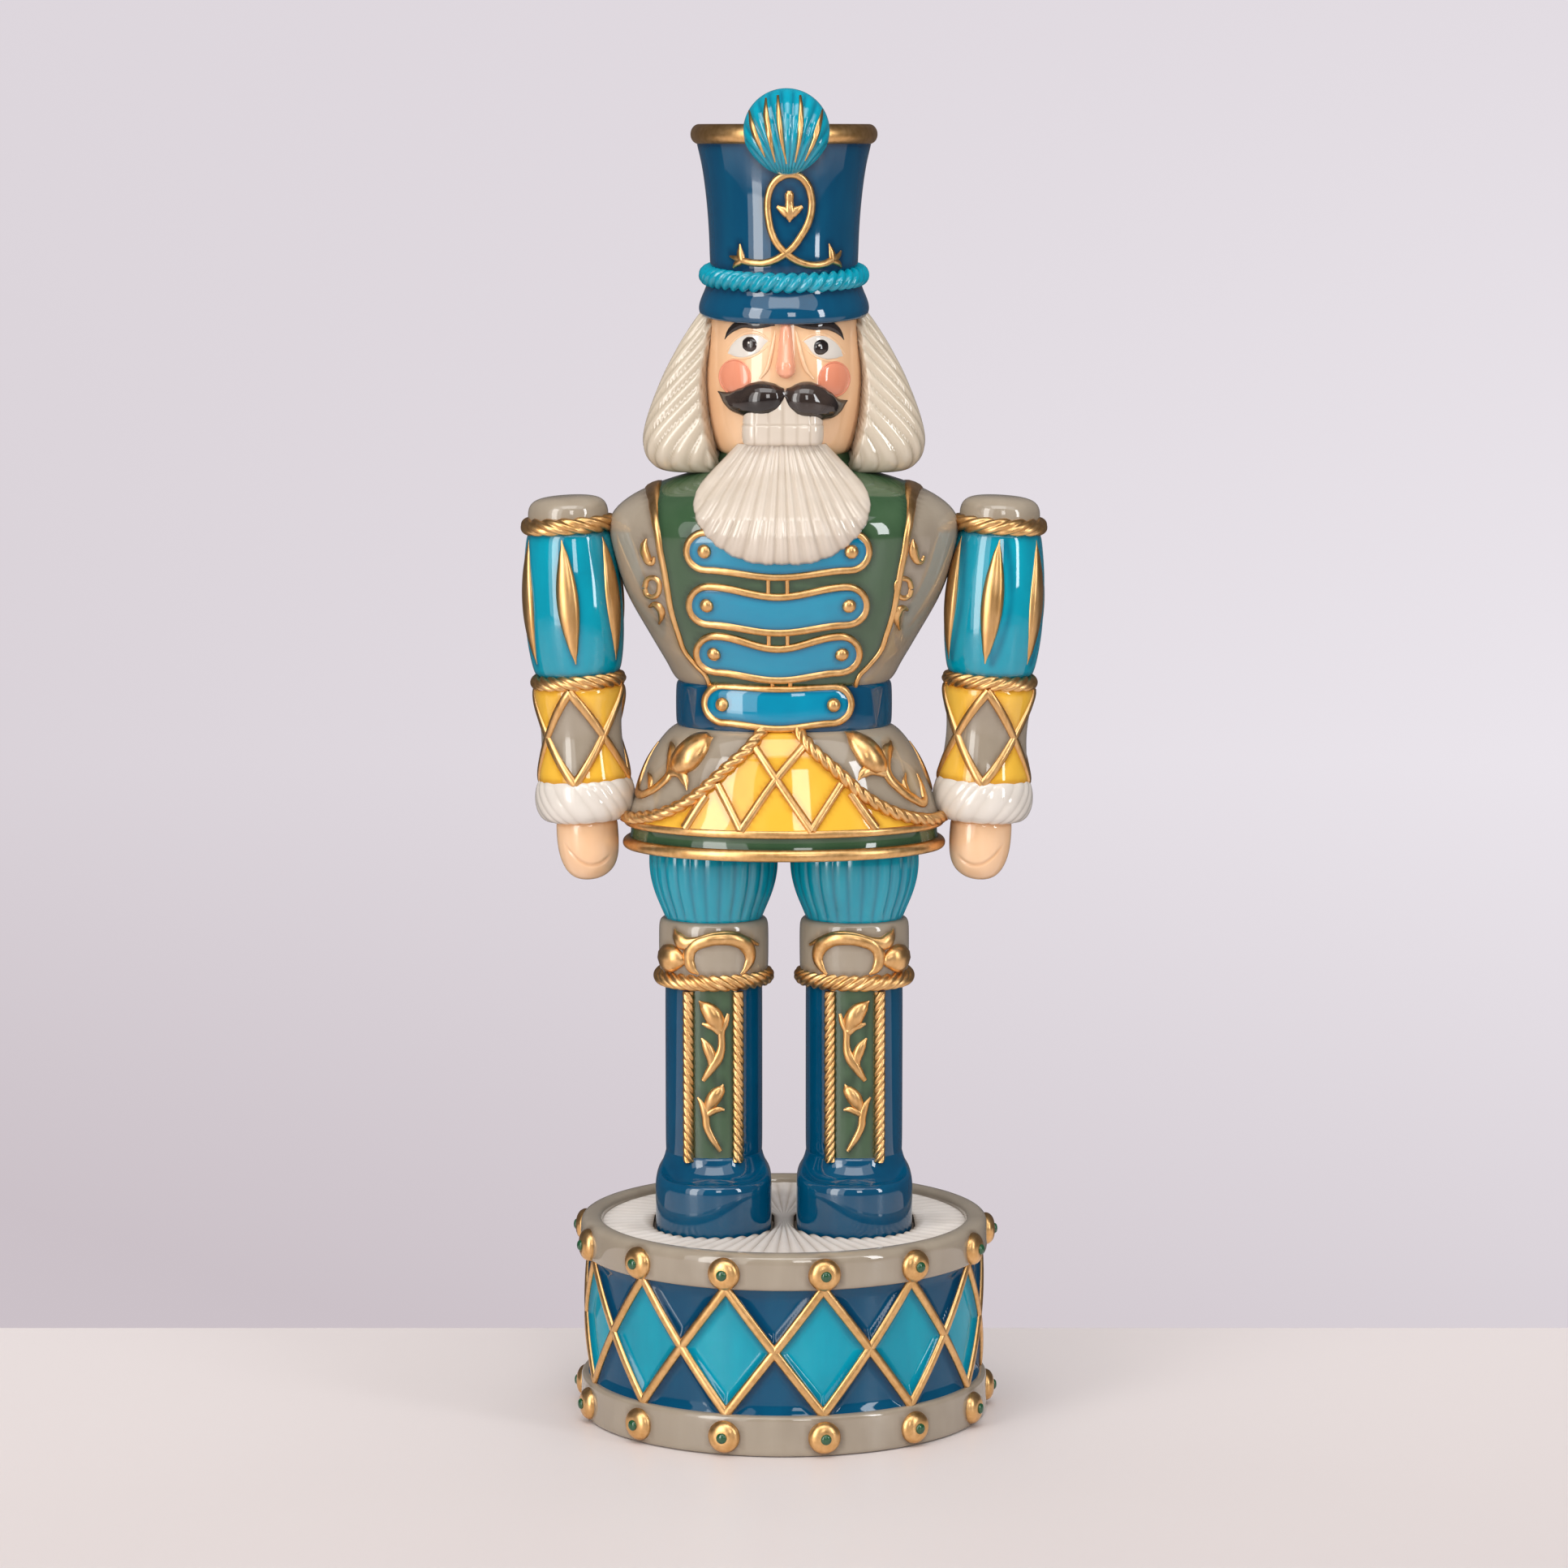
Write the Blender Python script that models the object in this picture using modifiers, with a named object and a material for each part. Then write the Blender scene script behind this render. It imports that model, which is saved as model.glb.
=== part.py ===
"""Glazed ceramic nutcracker soldier standing on a drum.

Each casting or applied relief is its own closed solid, and the hollow castings are drawn solid. The origin is
the centre of the drum's underside, +Z is up and the figure looks along -Y. Sizes below are in millimetres and
become metres through MM.
"""

import math

import bmesh
import bpy
from mathutils import Matrix, Vector

MM = 0.001

# Driving sizes
GAP = 0.3             # clearance between neighbouring castings
BODY_DEPTH = 0.72     # depth of the coat and skirt as a share of their width
FRONT_LINE = -2.7     # the coat's button line, a little left of the middle

DRUM_RADIUS = 76.0
HOOP_RADIUS = 78.6
HOOP_HEIGHT = 15.3
HOOP_LIP = 8.3        # width of the top hoop's lip
DRUM_HEIGHT = 77.0
DRUM_BAYS = 13        # lozenges, and studs in each row
BAY_TURN = 11.1       # degrees from the front to the nearest stud
HEAD_LEVEL = 75.0     # top of the drumhead
STUD_RADIUS = 6.1
STUD_PROUD = 2.7

LEG_X = 27.0
SHAFT_RADIUS = 18.7
BOOT_TOP = 171.0
SHAFT_BOTTOM = 104.0
FOOT_HALF = 22.3
FOOT_FRONT = -36.0
FOOT_BOTTOM = 73.2
PANEL_HALF = 9.0      # half width of the boot's front panel, to the braid's middle

ARM_X = 81.9
SHOULDER_Z = 344.0
ARM_LEAN = 3.2        # degrees, hands towards the skirt

STEPS_BODY = 32
STEPS_LIMB = 18
STEPS_HAT = 24

# Outer outlines of turned castings: (radius, height), from the top down
COAT = [(25.5, 372.2), (26.0, 366.5), (30.5, 364.0), (42.0, 361.0), (52.3, 357.2), (59.6, 351.2),
        (64.0, 344.5), (65.3, 336.0), (63.6, 327.0), (60.2, 316.0), (56.6, 311.0), (53.2, 306.8),
        (47.6, 295.7), (43.8, 289.5), (41.4, 283.8)]
BELT = [(41.2, 283.5), (41.4, 279.0), (41.4, 271.0), (41.2, 267.0)]
SKIRT = [(42.6, 266.7), (45.5, 263.8), (50.3, 258.0), (52.6, 252.0), (54.4, 245.8), (57.2, 239.5),
         (60.0, 233.5), (61.0, 230.2)]
HEM = [(60.6, 229.9), (59.0, 228.6), (58.6, 226.4), (59.6, 224.6), (61.2, 223.2), (61.5, 221.4),
       (60.6, 219.8)]
FACE = [(28.4, 424.2), (28.7, 417.0), (29.6, 409.0), (30.3, 401.0), (29.6, 391.0), (27.9, 382.0),
        (25.2, 374.6), (24.0, 372.6)]
CROWN = [(32.2, 486.4), (31.1, 480.0), (30.2, 474.0), (28.9, 462.0), (28.2, 450.0), (28.1, 424.6)]
BREECHES = [(24.0, 219.4), (24.9, 213.5), (24.3, 208.0), (22.6, 201.8), (19.9, 195.5), (18.4, 192.6)]

COLOURS = {           # linear base colour, roughness, metallic
    "navy_glaze": ((0.010, 0.085, 0.180), 0.12, 0.0),
    "teal_glaze": ((0.003, 0.250, 0.380), 0.12, 0.0),
    "strap_blue_glaze": ((0.006, 0.230, 0.420), 0.12, 0.0),
    "green_glaze": ((0.050, 0.140, 0.065), 0.12, 0.0),
    "taupe_glaze": ((0.390, 0.330, 0.260), 0.12, 0.0),
    "yellow_glaze": ((0.870, 0.600, 0.060), 0.12, 0.0),
    "ivory_glaze": ((0.830, 0.780, 0.700), 0.12, 0.0),
    "hair_glaze": ((0.640, 0.590, 0.510), 0.12, 0.0),
    "flesh_glaze": ((0.860, 0.520, 0.310), 0.14, 0.0),
    "black_glaze": ((0.020, 0.014, 0.012), 0.10, 0.0),
    "gold_lustre": ((0.610, 0.330, 0.110), 0.28, 0.9),
}


# ---------------------------------------------------------------- scene and helpers

def new_collection(name, hidden=False):
    collection = bpy.data.collections.new(name)
    collection.hide_render = hidden
    bpy.context.scene.collection.children.link(collection)
    return collection


def clear_scene():
    for obj in list(bpy.data.objects):
        bpy.data.objects.remove(obj)


def make_materials():
    made = {}
    for name, (colour, roughness, metallic) in COLOURS.items():
        material = bpy.data.materials.new(name)
        material.use_nodes = True
        shader = material.node_tree.nodes["Principled BSDF"]
        shader.inputs["Base Color"].default_value = (*colour, 1.0)
        shader.inputs["Roughness"].default_value = roughness
        shader.inputs["Metallic"].default_value = metallic
        made[name] = material
    return made


clear_scene()
PARTS = new_collection("nutcracker_figure")
CUTTERS = new_collection("cutters", hidden=True)
MATERIALS = make_materials()


def place(name, data, material=None, parent=None):
    """Links an object to the parts, or to the cutters when it has no material."""
    obj = bpy.data.objects.new(name, data)
    if material is None:
        obj.hide_render = True
        obj.display_type = "WIRE"
        CUTTERS.objects.link(obj)
    else:
        obj.data.materials.append(MATERIALS[material])
        PARTS.objects.link(obj)
    obj.parent = parent
    return obj


def group(name, location, turn=0.0):
    """An empty that carries one limb. Location in millimetres, turn in degrees about Y."""
    empty = bpy.data.objects.new(name, None)
    empty.location = Vector(location) * MM
    empty.rotation_euler = (0.0, math.radians(turn), 0.0)
    PARTS.objects.link(empty)
    return empty


def mesh_from(bm, name):
    mesh = bpy.data.meshes.new(name)
    bm.to_mesh(mesh)
    bm.free()
    return mesh


def turned(name, profile, steps, material=None, depth=1.0, closed=False, parent=None, first_angle=0.0):
    """Turns (radius, height) points about Z. An open profile starts and ends on the axis."""
    bm = bmesh.new()
    points = [bm.verts.new((radius * MM, 0.0, height * MM)) for radius, height in profile]
    for upper, lower in zip(points, points[1:]):
        bm.edges.new((upper, lower))
    if closed:
        bm.edges.new((points[-1], points[0]))
    turn = Matrix.Rotation(math.radians(first_angle), 3, "Z")
    bmesh.ops.rotate(bm, verts=points, cent=(0, 0, 0), matrix=turn)
    obj = place(name, mesh_from(bm, name), material, parent)
    obj.scale = (1.0, depth, 1.0)
    screw = obj.modifiers.new("turn", "SCREW")
    screw.steps = screw.render_steps = steps
    screw.use_merge_vertices = True
    screw.merge_threshold = 0.00005
    screw.use_smooth_shade = True
    return obj


def solid_profile(outer, offset=0.0, ends=None):
    """The outline closed onto the axis at both ends, grown by offset, with its ends moved out by ends."""
    ends = offset if ends is None else ends
    grown = [(radius + offset, height) for radius, height in outer]
    top, bottom = outer[0][1] + ends, outer[-1][1] - ends
    return [(0.0, top), (grown[0][0], top)] + grown[1:-1] + [(grown[-1][0], bottom), (0.0, bottom)]


def rope_disc(height):
    """A round-edged disc, where a twisted cord runs round a sleeve."""
    upper = [(0, 3.1), (15.4, 3.1), (17.5, 2.1), (18.4, 0.0)]
    lower = [(radius, -up) for radius, up in upper[-2::-1]]
    return [(radius, height + up) for radius, up in upper + lower]


def baked(obj):
    """The object's evaluated mesh as a plain mesh object, so that it can be cut or used as a cutter."""
    bpy.context.view_layer.update()
    evaluated = obj.evaluated_get(bpy.context.evaluated_depsgraph_get())
    mesh = bpy.data.meshes.new_from_object(evaluated)
    bm = bmesh.new()
    bm.from_mesh(mesh)
    bmesh.ops.remove_doubles(bm, verts=bm.verts, dist=0.00001)
    bmesh.ops.recalc_face_normals(bm, faces=bm.faces)
    bm.to_mesh(mesh)
    bm.free()
    made = bpy.data.objects.new(obj.name + "_mesh", mesh)
    made.matrix_world = obj.matrix_world
    made.hide_render = obj.hide_render
    made.display_type = obj.display_type
    for collection in obj.users_collection:
        collection.objects.link(made)
    name = obj.name
    bpy.data.objects.remove(obj)
    made.name = name
    return made


def combine(obj, other, operation="DIFFERENCE"):
    boolean = obj.modifiers.new(operation.lower(), "BOOLEAN")
    boolean.operation = operation
    boolean.object = other
    return obj


def prism(name, outlines, near=2.0, far=90.0, material=None):
    """Flat outlines in X and Z, extruded along -Y from near to far. An outline inside another is a hole."""
    curve = bpy.data.curves.new(name, "CURVE")
    curve.dimensions = "2D"
    curve.fill_mode = "BOTH"
    curve.extrude = (far - near) / 2 * MM
    for outline in outlines:
        spline = curve.splines.new("POLY")
        spline.points.add(len(outline) - 1)
        spline.use_cyclic_u = True
        for point, (x, z) in zip(spline.points, outline):
            point.co = (x * MM, z * MM, 0.0, 1.0)
    obj = place(name, curve, material)
    obj.location = (0.0, -(near + far) / 2 * MM, 0.0)
    obj.rotation_euler = (math.radians(90), 0.0, 0.0)
    return baked(obj)


def relief(name, outlines, carrier, lift, material, steps, depth=1.0, centre=(0.0, 0.0), under=GAP):
    """A raised shape on a turned carrier's front: its outline, from the carrier's skin to lift above it."""
    piece = prism(name, outlines, material=material)
    skin = turned(name + "_skin", solid_profile(carrier, under, 1.0), steps, depth=depth)
    face = turned(name + "_face", solid_profile(carrier, lift, 0.0), steps, depth=depth)
    for cutter in (skin, face):
        cutter.location = (centre[0] * MM, centre[1] * MM, 0.0)
    combine(piece, face, "INTERSECT")
    combine(piece, skin, "DIFFERENCE")
    return piece


def bar_outline(half, top_end, top_mid, low_end, low_mid, centre=0.0, points=7):
    """A strap with round ends whose edges dip towards the middle."""
    end_radius = (top_end - low_end) / 2
    run = half - end_radius
    outline = []
    for i in range(points):
        x = run * (2 * i / (points - 1) - 1)
        dip = math.cos(x / run * math.pi / 2) ** 2
        outline.append((centre + x, top_end + (top_mid - top_end) * dip))
    middle = (top_end + low_end) / 2
    for i in range(1, points - 1):
        t = math.pi / 2 - math.pi * i / (points - 1)
        outline.append((centre + run + end_radius * math.cos(t), middle + end_radius * math.sin(t)))
    for i in range(points):
        x = run * (1 - 2 * i / (points - 1))
        dip = math.cos(x / run * math.pi / 2) ** 2
        outline.append((centre + x, low_end + (low_mid - low_end) * dip))
    for i in range(1, points - 1):
        t = -math.pi / 2 - math.pi * i / (points - 1)
        outline.append((centre - run + end_radius * math.cos(t), middle + end_radius * math.sin(t)))
    return outline


def band_outline(line, half_width):
    """A ribbon of constant width along a line of (x, z) points."""
    left, right = [], []
    for i, point in enumerate(line):
        before, after = line[max(i - 1, 0)], line[min(i + 1, len(line) - 1)]
        along = Vector((after[0] - before[0], after[1] - before[1])).normalized()
        side = Vector((-along.y, along.x)) * half_width
        left.append((point[0] + side.x, point[1] + side.y))
        right.append((point[0] - side.x, point[1] - side.y))
    return left + right[::-1]


def loft(name, rings, material=None, parent=None):
    """Skins rings of (x, y, z) points in millimetres, bottom ring first, and closes both ends."""
    bm = bmesh.new()
    rows = [[bm.verts.new(Vector(p) * MM) for p in ring] for ring in rings]
    count = len(rows[0])
    for low, high in zip(rows, rows[1:]):
        for i in range(count):
            j = (i + 1) % count
            bm.faces.new((low[i], low[j], high[j], high[i]))
    bm.faces.new(rows[0][::-1])
    bm.faces.new(rows[-1])
    bmesh.ops.recalc_face_normals(bm, faces=bm.faces)
    return place(name, mesh_from(bm, name), material, parent)


# ---------------------------------------------------------------- drum

def stadium(half, front, back, height, points=24):
    """A foot-shaped ring: two half circles joined by straight sides."""
    ring = []
    for i in range(points):
        t = math.tau * (i + 0.5) / points
        x, y = half * math.cos(t), half * math.sin(t)
        ring.append((x, y + (back - half if y > 0 else front + half), height))
    return ring


def drum():
    turned("drum_shell", [(0, 69.0), (DRUM_RADIUS, 69.0), (DRUM_RADIUS, 0.0), (0, 0.0)], DRUM_BAYS * 4,
           "navy_glaze", first_angle=BAY_TURN - 90)
    drum_lattice()
    hoops()
    edge = HOOP_RADIUS - HOOP_LIP - GAP
    head = turned("drum_head", [(0, HEAD_LEVEL), (edge, HEAD_LEVEL), (edge, 69.3), (0, 69.3)],
                  DRUM_BAYS * 4, "ivory_glaze")
    for side in (-1, 1):
        well = [stadium(FOOT_HALF + 0.5, FOOT_FRONT - 0.5, FOOT_HALF + 0.5, z)
                for z in (FOOT_BOTTOM - GAP, HEAD_LEVEL + 3)]
        cutter = loft(f"well_{side}", well)
        cutter.location.x = side * LEG_X * MM
        combine(head, cutter)


def drum_lattice():
    """Gold strapwork: the edges of a net of lozenges, each edge made a bar."""
    net_radius, bar = 77.65, 1.35
    levels = (17.4, 40.2, 61.9)
    bay = math.tau / DRUM_BAYS
    bm = bmesh.new()

    def row(level, shift):
        angles = [math.radians(BAY_TURN - 90) + (i + shift) * bay for i in range(DRUM_BAYS)]
        return [bm.verts.new((net_radius * MM * math.cos(a), net_radius * MM * math.sin(a), level * MM))
                for a in angles]

    low, low_half = row(levels[0], 0.0), row(levels[0], 0.5)
    mid = row(levels[1], 0.5)
    high, high_half = row(levels[2], 0.0), row(levels[2], 0.5)
    for i in range(DRUM_BAYS):
        j = (i + 1) % DRUM_BAYS
        bm.faces.new((low[i], mid[i], high[i], mid[i - 1]))
        bm.faces.new((low[i], low_half[i], low[j], mid[i]))
        bm.faces.new((mid[i], high[j], high_half[i], high[i]))
    bmesh.ops.recalc_face_normals(bm, faces=bm.faces)
    net = place("drum_lattice", mesh_from(bm, "drum_lattice"), "gold_lustre")
    wire = net.modifiers.new("bars", "WIREFRAME")
    wire.thickness = bar * MM
    wire.use_even_offset = False
    wire.use_boundary = True


def hoops():
    lip = HOOP_RADIUS - HOOP_LIP
    inner = DRUM_RADIUS + GAP
    out, top_face = HOOP_RADIUS, DRUM_HEIGHT
    top_section = [(lip + 1.4, top_face), (out - 1.6, top_face), (out, top_face - 2.0), (out, 63.4),
                   (inner, 63.4), (inner, 69.3), (lip, 69.3), (lip, top_face - 1.2)]
    low_section = [(inner, HOOP_HEIGHT), (out - 0.9, HOOP_HEIGHT), (out, HOOP_HEIGHT - 0.9), (out, 1.0),
                   (out - 0.9, 0.0), (inner, 0.0)]
    hoop_rings = []
    for name, section in (("drum_top_hoop", top_section), ("drum_bottom_hoop", low_section)):
        ring = turned(name, section, DRUM_BAYS * 4, "taupe_glaze", closed=True, first_angle=BAY_TURN - 90)
        hoop_rings.append(baked(ring))
    for hoop, height in zip(hoop_rings, (69.2, 7.4)):
        hoop.data.materials.append(MATERIALS["gold_lustre"])
        for i in range(DRUM_BAYS):
            angle = math.radians(BAY_TURN - 90) + math.tau * i / DRUM_BAYS
            combine(hoop, stud_boss(f"{hoop.name}_stud_{i}", angle, height), "UNION")


def stud_boss(name, angle, height):
    """A low dome on the hoop, made as a flattened ball that is sunk to just inside the hoop's skin."""
    bm = bmesh.new()
    bmesh.ops.create_uvsphere(bm, u_segments=9, v_segments=6, radius=STUD_RADIUS * MM)
    reach = STUD_PROUD + 1.4
    bmesh.ops.scale(bm, vec=(1.0, 1.0, reach / STUD_RADIUS), verts=bm.verts)
    bmesh.ops.bisect_plane(bm, geom=bm.verts[:] + bm.edges[:] + bm.faces[:], plane_co=(0, 0, 0.3 * MM),
                           plane_no=(0, 0, 1), clear_inner=True)
    bmesh.ops.holes_fill(bm, edges=[e for e in bm.edges if e.is_boundary])
    bmesh.ops.recalc_face_normals(bm, faces=bm.faces)
    boss = place(name, mesh_from(bm, name))
    sunk = HOOP_RADIUS - 1.4
    boss.rotation_euler = (0.0, math.radians(90), angle)
    boss.location = (sunk * MM * math.cos(angle), sunk * MM * math.sin(angle), height * MM)
    return boss


# ---------------------------------------------------------------- legs

def foot_rings():
    """Levels of the boot's foot, from the sole up to the ankle: height, half width, front, back."""
    levels = [(FOOT_BOTTOM, 22.0, -35.7, 22.0), (76.0, FOOT_HALF, FOOT_FRONT, FOOT_HALF),
              (91.0, FOOT_HALF, FOOT_FRONT, FOOT_HALF), (94.6, 21.9, -35.4, 21.9), (96.2, 21.0, -33.4, 21.0),
              (96.6, 20.2, -29.0, 20.2), (98.0, 19.6, -22.6, 19.6), (SHAFT_BOTTOM - GAP, 18.9, -18.9, 18.9)]
    return [stadium(half, front, back, z) for z, half, front, back in levels]


def leg(side, word):
    carrier = group(f"leg_{word}", (side * LEG_X, 0.0, 0.0))
    loft(f"boot_foot_{word}", foot_rings(), "navy_glaze", carrier)
    shaft = [(SHAFT_RADIUS, BOOT_TOP + 2.4), (SHAFT_RADIUS, SHAFT_BOTTOM)]
    turned(f"boot_shaft_{word}", solid_profile(shaft), STEPS_LIMB, "navy_glaze", parent=carrier)
    inner = SHAFT_RADIUS + GAP
    turned(f"knee_rope_{word}",
           [(inner, 173.6), (21.2, 173.4), (22.7, 171.6), (22.8, 169.6), (21.4, 167.6), (inner, 167.2)],
           STEPS_LIMB, "gold_lustre", closed=True, parent=carrier)
    turned(f"knee_cuff_{word}",
           [(0, 192.3), (20.4, 192.3), (21.1, 191.2), (21.1, 174.9), (20.6, 173.9), (0, 173.9)],
           STEPS_LIMB, "taupe_glaze", parent=carrier)
    turned(f"breeches_{word}", solid_profile(BREECHES), STEPS_LIMB, "teal_glaze", parent=carrier)
    boot_front(side, word)


def boot_front(side, word):
    """The green front panel and the two gold braids that edge it, raised on the shaft."""
    middle = side * LEG_X
    top, bottom = 166.8, 104.4
    shaft = [(SHAFT_RADIUS, 180.0), (SHAFT_RADIUS, 95.0)]
    edge = PANEL_HALF - 2.3
    panel = [(middle - edge, bottom), (middle + edge, bottom), (middle + edge, top), (middle - edge, top)]
    relief(f"boot_panel_{word}", [panel], shaft, 0.9, "green_glaze", STEPS_LIMB, centre=(middle, 0.0))
    for braid, offset in (("inner", -side * PANEL_HALF), ("outer", side * PANEL_HALF)):
        low, high = middle + offset - 2.0, middle + offset + 2.0
        outline = [(low, bottom), (high, bottom), (high, top), (low, top)]
        relief(f"boot_braid_{word}_{braid}", [outline], shaft, 1.9, "gold_lustre", STEPS_LIMB,
               centre=(middle, 0.0))


# ---------------------------------------------------------------- coat

def coat():
    torso = baked(turned("coat_body", solid_profile(COAT), STEPS_BODY, "taupe_glaze", BODY_DEPTH))
    for side in (-1, 1):
        combine(torso, arm_clearance(side))
    turned("belt", solid_profile(BELT), STEPS_BODY, "navy_glaze", BODY_DEPTH)
    turned("coat_skirt", solid_profile(SKIRT), STEPS_BODY, "taupe_glaze", BODY_DEPTH)
    turned("coat_hem", solid_profile(HEM), STEPS_BODY, "green_glaze", BODY_DEPTH)
    frogging()
    skirt_ropes()


def frogging():
    """Three chest straps and the belt's plate, each dipping to the button line."""
    straps = {
        "chest_strap_top": (34.0, 343.2, 341.0, 328.6, 326.4, COAT),
        "chest_strap_middle": (33.0, 322.6, 318.4, 308.8, 306.2, COAT),
        "chest_strap_low": (29.8, 304.2, 299.4, 290.4, 288.2, COAT),
        "belt_plate": (27.6, 284.6, 283.8, 269.8, 269.4, [(41.4, 290.0), (41.4, 262.0)]),
    }
    for name, (half, top_end, top_mid, low_end, low_mid, carrier) in straps.items():
        outline = bar_outline(half, top_end, top_mid, low_end, low_mid, FRONT_LINE)
        lift = 3.0 if name == "belt_plate" else 2.2
        under = 1.9 if name == "belt_plate" else GAP
        piece = relief(name, [outline], carrier, lift, "strap_blue_glaze", STEPS_BODY, BODY_DEPTH,
                       under=under)
        if name == "chest_strap_top":
            combine(piece, beard_cutter("strap_beard_cutter", 0.5))


def skirt_ropes():
    """Two twisted cords that run from under the belt plate down to the sides of the skirt."""
    for side, word in ((-1, "left"), (1, "right")):
        path = ((6.8, 266.2), (12.5, 261.0), (20.0, 253.6), (28.5, 246.0), (38.0, 238.6), (47.5, 233.4),
                (55.0, 231.6))
        line = [(FRONT_LINE + side * x, z) for x, z in path]
        outline = band_outline(line, 2.0)
        relief(f"skirt_rope_{word}", [outline], SKIRT, 2.4, "gold_lustre", STEPS_BODY, BODY_DEPTH)


# ---------------------------------------------------------------- arms

SLEEVE = [(15.6, -3.4), (16.8, -5.6), (18.3, -15.0), (19.0, -27.0), (18.9, -40.0), (17.9, -48.5),
          (16.6, -56.4)]


def arm_group(side, word):
    return group(f"arm_{word}", (side * ARM_X, 0.0, SHOULDER_Z), side * ARM_LEAN)


def arm_clearance(side):
    """The shape of cap, ring and sleeve, a little larger, that the shoulder is cut by."""
    rings = [(15.6, 10.0), (18.4, 3.0), (18.4, -3.2)] + SLEEVE[1:]
    profile = [(0.0, 10.0)] + [(radius + GAP, z) for radius, z in rings] + [(0.0, -56.4)]
    cutter = turned(f"arm_clearance_{side}", profile, STEPS_LIMB)
    cutter.location = (side * ARM_X * MM, 0.0, SHOULDER_Z * MM)
    cutter.rotation_euler = (0.0, math.radians(side * ARM_LEAN), 0.0)
    return cutter


def arm(side, word):
    carrier = arm_group(side, word)

    def piece(name, profile, material, closed=False):
        return turned(f"{name}_{word}", profile, STEPS_LIMB, material, closed=closed, parent=carrier)

    piece("shoulder_cap", [(0, 10.4), (7, 9.8), (12, 7.8), (14.8, 4.8), (15.2, 3.4), (0, 3.4)], "taupe_glaze")
    piece("shoulder_rope", rope_disc(0.0), "gold_lustre")
    piece("upper_sleeve", solid_profile(SLEEVE), "teal_glaze")
    piece("elbow_rope", rope_disc(-59.9), "gold_lustre")
    fore = [(17.0, -63.4), (17.4, -65.0), (15.9, -73.0), (15.2, -81.0), (16.4, -91.0), (17.8, -98.6)]
    piece("forearm_sleeve", solid_profile(fore), "yellow_glaze")
    cuff = piece("fur_cuff", [(0, -98.9), (17.8, -98.9), (18.9, -102.0), (19.2, -106.5), (17.6, -111.0),
                              (14.6, -113.0), (0, -113.0)], "ivory_glaze")
    combine(cuff, turned(f"cuff_skirt_skin_{word}", solid_profile(SKIRT, GAP), STEPS_BODY, depth=BODY_DEPTH))
    piece("hand", [(0, -113.3), (11.6, -113.3), (12.0, -118.0), (11.6, -124.5), (9.7, -130.5), (6.0, -134.6),
                   (0, -136.4)], "flesh_glaze")


# ---------------------------------------------------------------- head

def head():
    face = baked(turned("face_casting", solid_profile(FACE), STEPS_HAT, "flesh_glaze"))
    combine(face, nose(), "UNION")
    teeth()
    moustache()
    hair()
    beard = prism("beard", [beard_outline()], near=2.0, far=70.0, material="ivory_glaze")
    combine(beard, beard_envelope("beard_face", 0.0), "INTERSECT")
    combine(beard, turned("beard_coat_skin", solid_profile(COAT, GAP), STEPS_BODY, depth=BODY_DEPTH))
    combine(beard, turned("beard_face_skin", solid_profile(FACE, GAP), STEPS_HAT))
    combine(beard, turned("beard_hollow", solid_profile([(24.0, 376.0), (24.0, 340.0)], 0.0), STEPS_HAT))


def nose():
    """A long wedge that starts between the brows and ends above the moustache."""
    rings = []
    levels = ((401.6, 4.4, -36.0), (404.0, 4.3, -36.6), (411.0, 3.2, -34.0), (419.5, 2.6, -31.0))
    for z, half, front in levels:
        rings.append([(-half, -26.0, z), (half, -26.0, z), (half, front + 1.4, z), (half * 0.5, front, z),
                      (-half * 0.5, front, z), (-half, front + 1.4, z)])
    return loft("nose", rings)


def teeth():
    """A rounded block with both rows of teeth, cut to sit on the face."""
    bm = bmesh.new()
    bmesh.ops.create_cube(bm, size=1.0)
    bmesh.ops.scale(bm, vec=(31.4 * MM, 16.0 * MM, 15.0 * MM), verts=bm.verts)
    bmesh.ops.translate(bm, vec=(-0.4 * MM, -24.5 * MM, 382.6 * MM), verts=bm.verts)
    block = place("teeth", mesh_from(bm, "teeth"), "ivory_glaze")
    bevel = block.modifiers.new("rounding", "BEVEL")
    bevel.width = 2.2 * MM
    bevel.segments = 2
    combine(block, turned("teeth_skin", solid_profile(FACE, GAP), STEPS_HAT))


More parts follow.
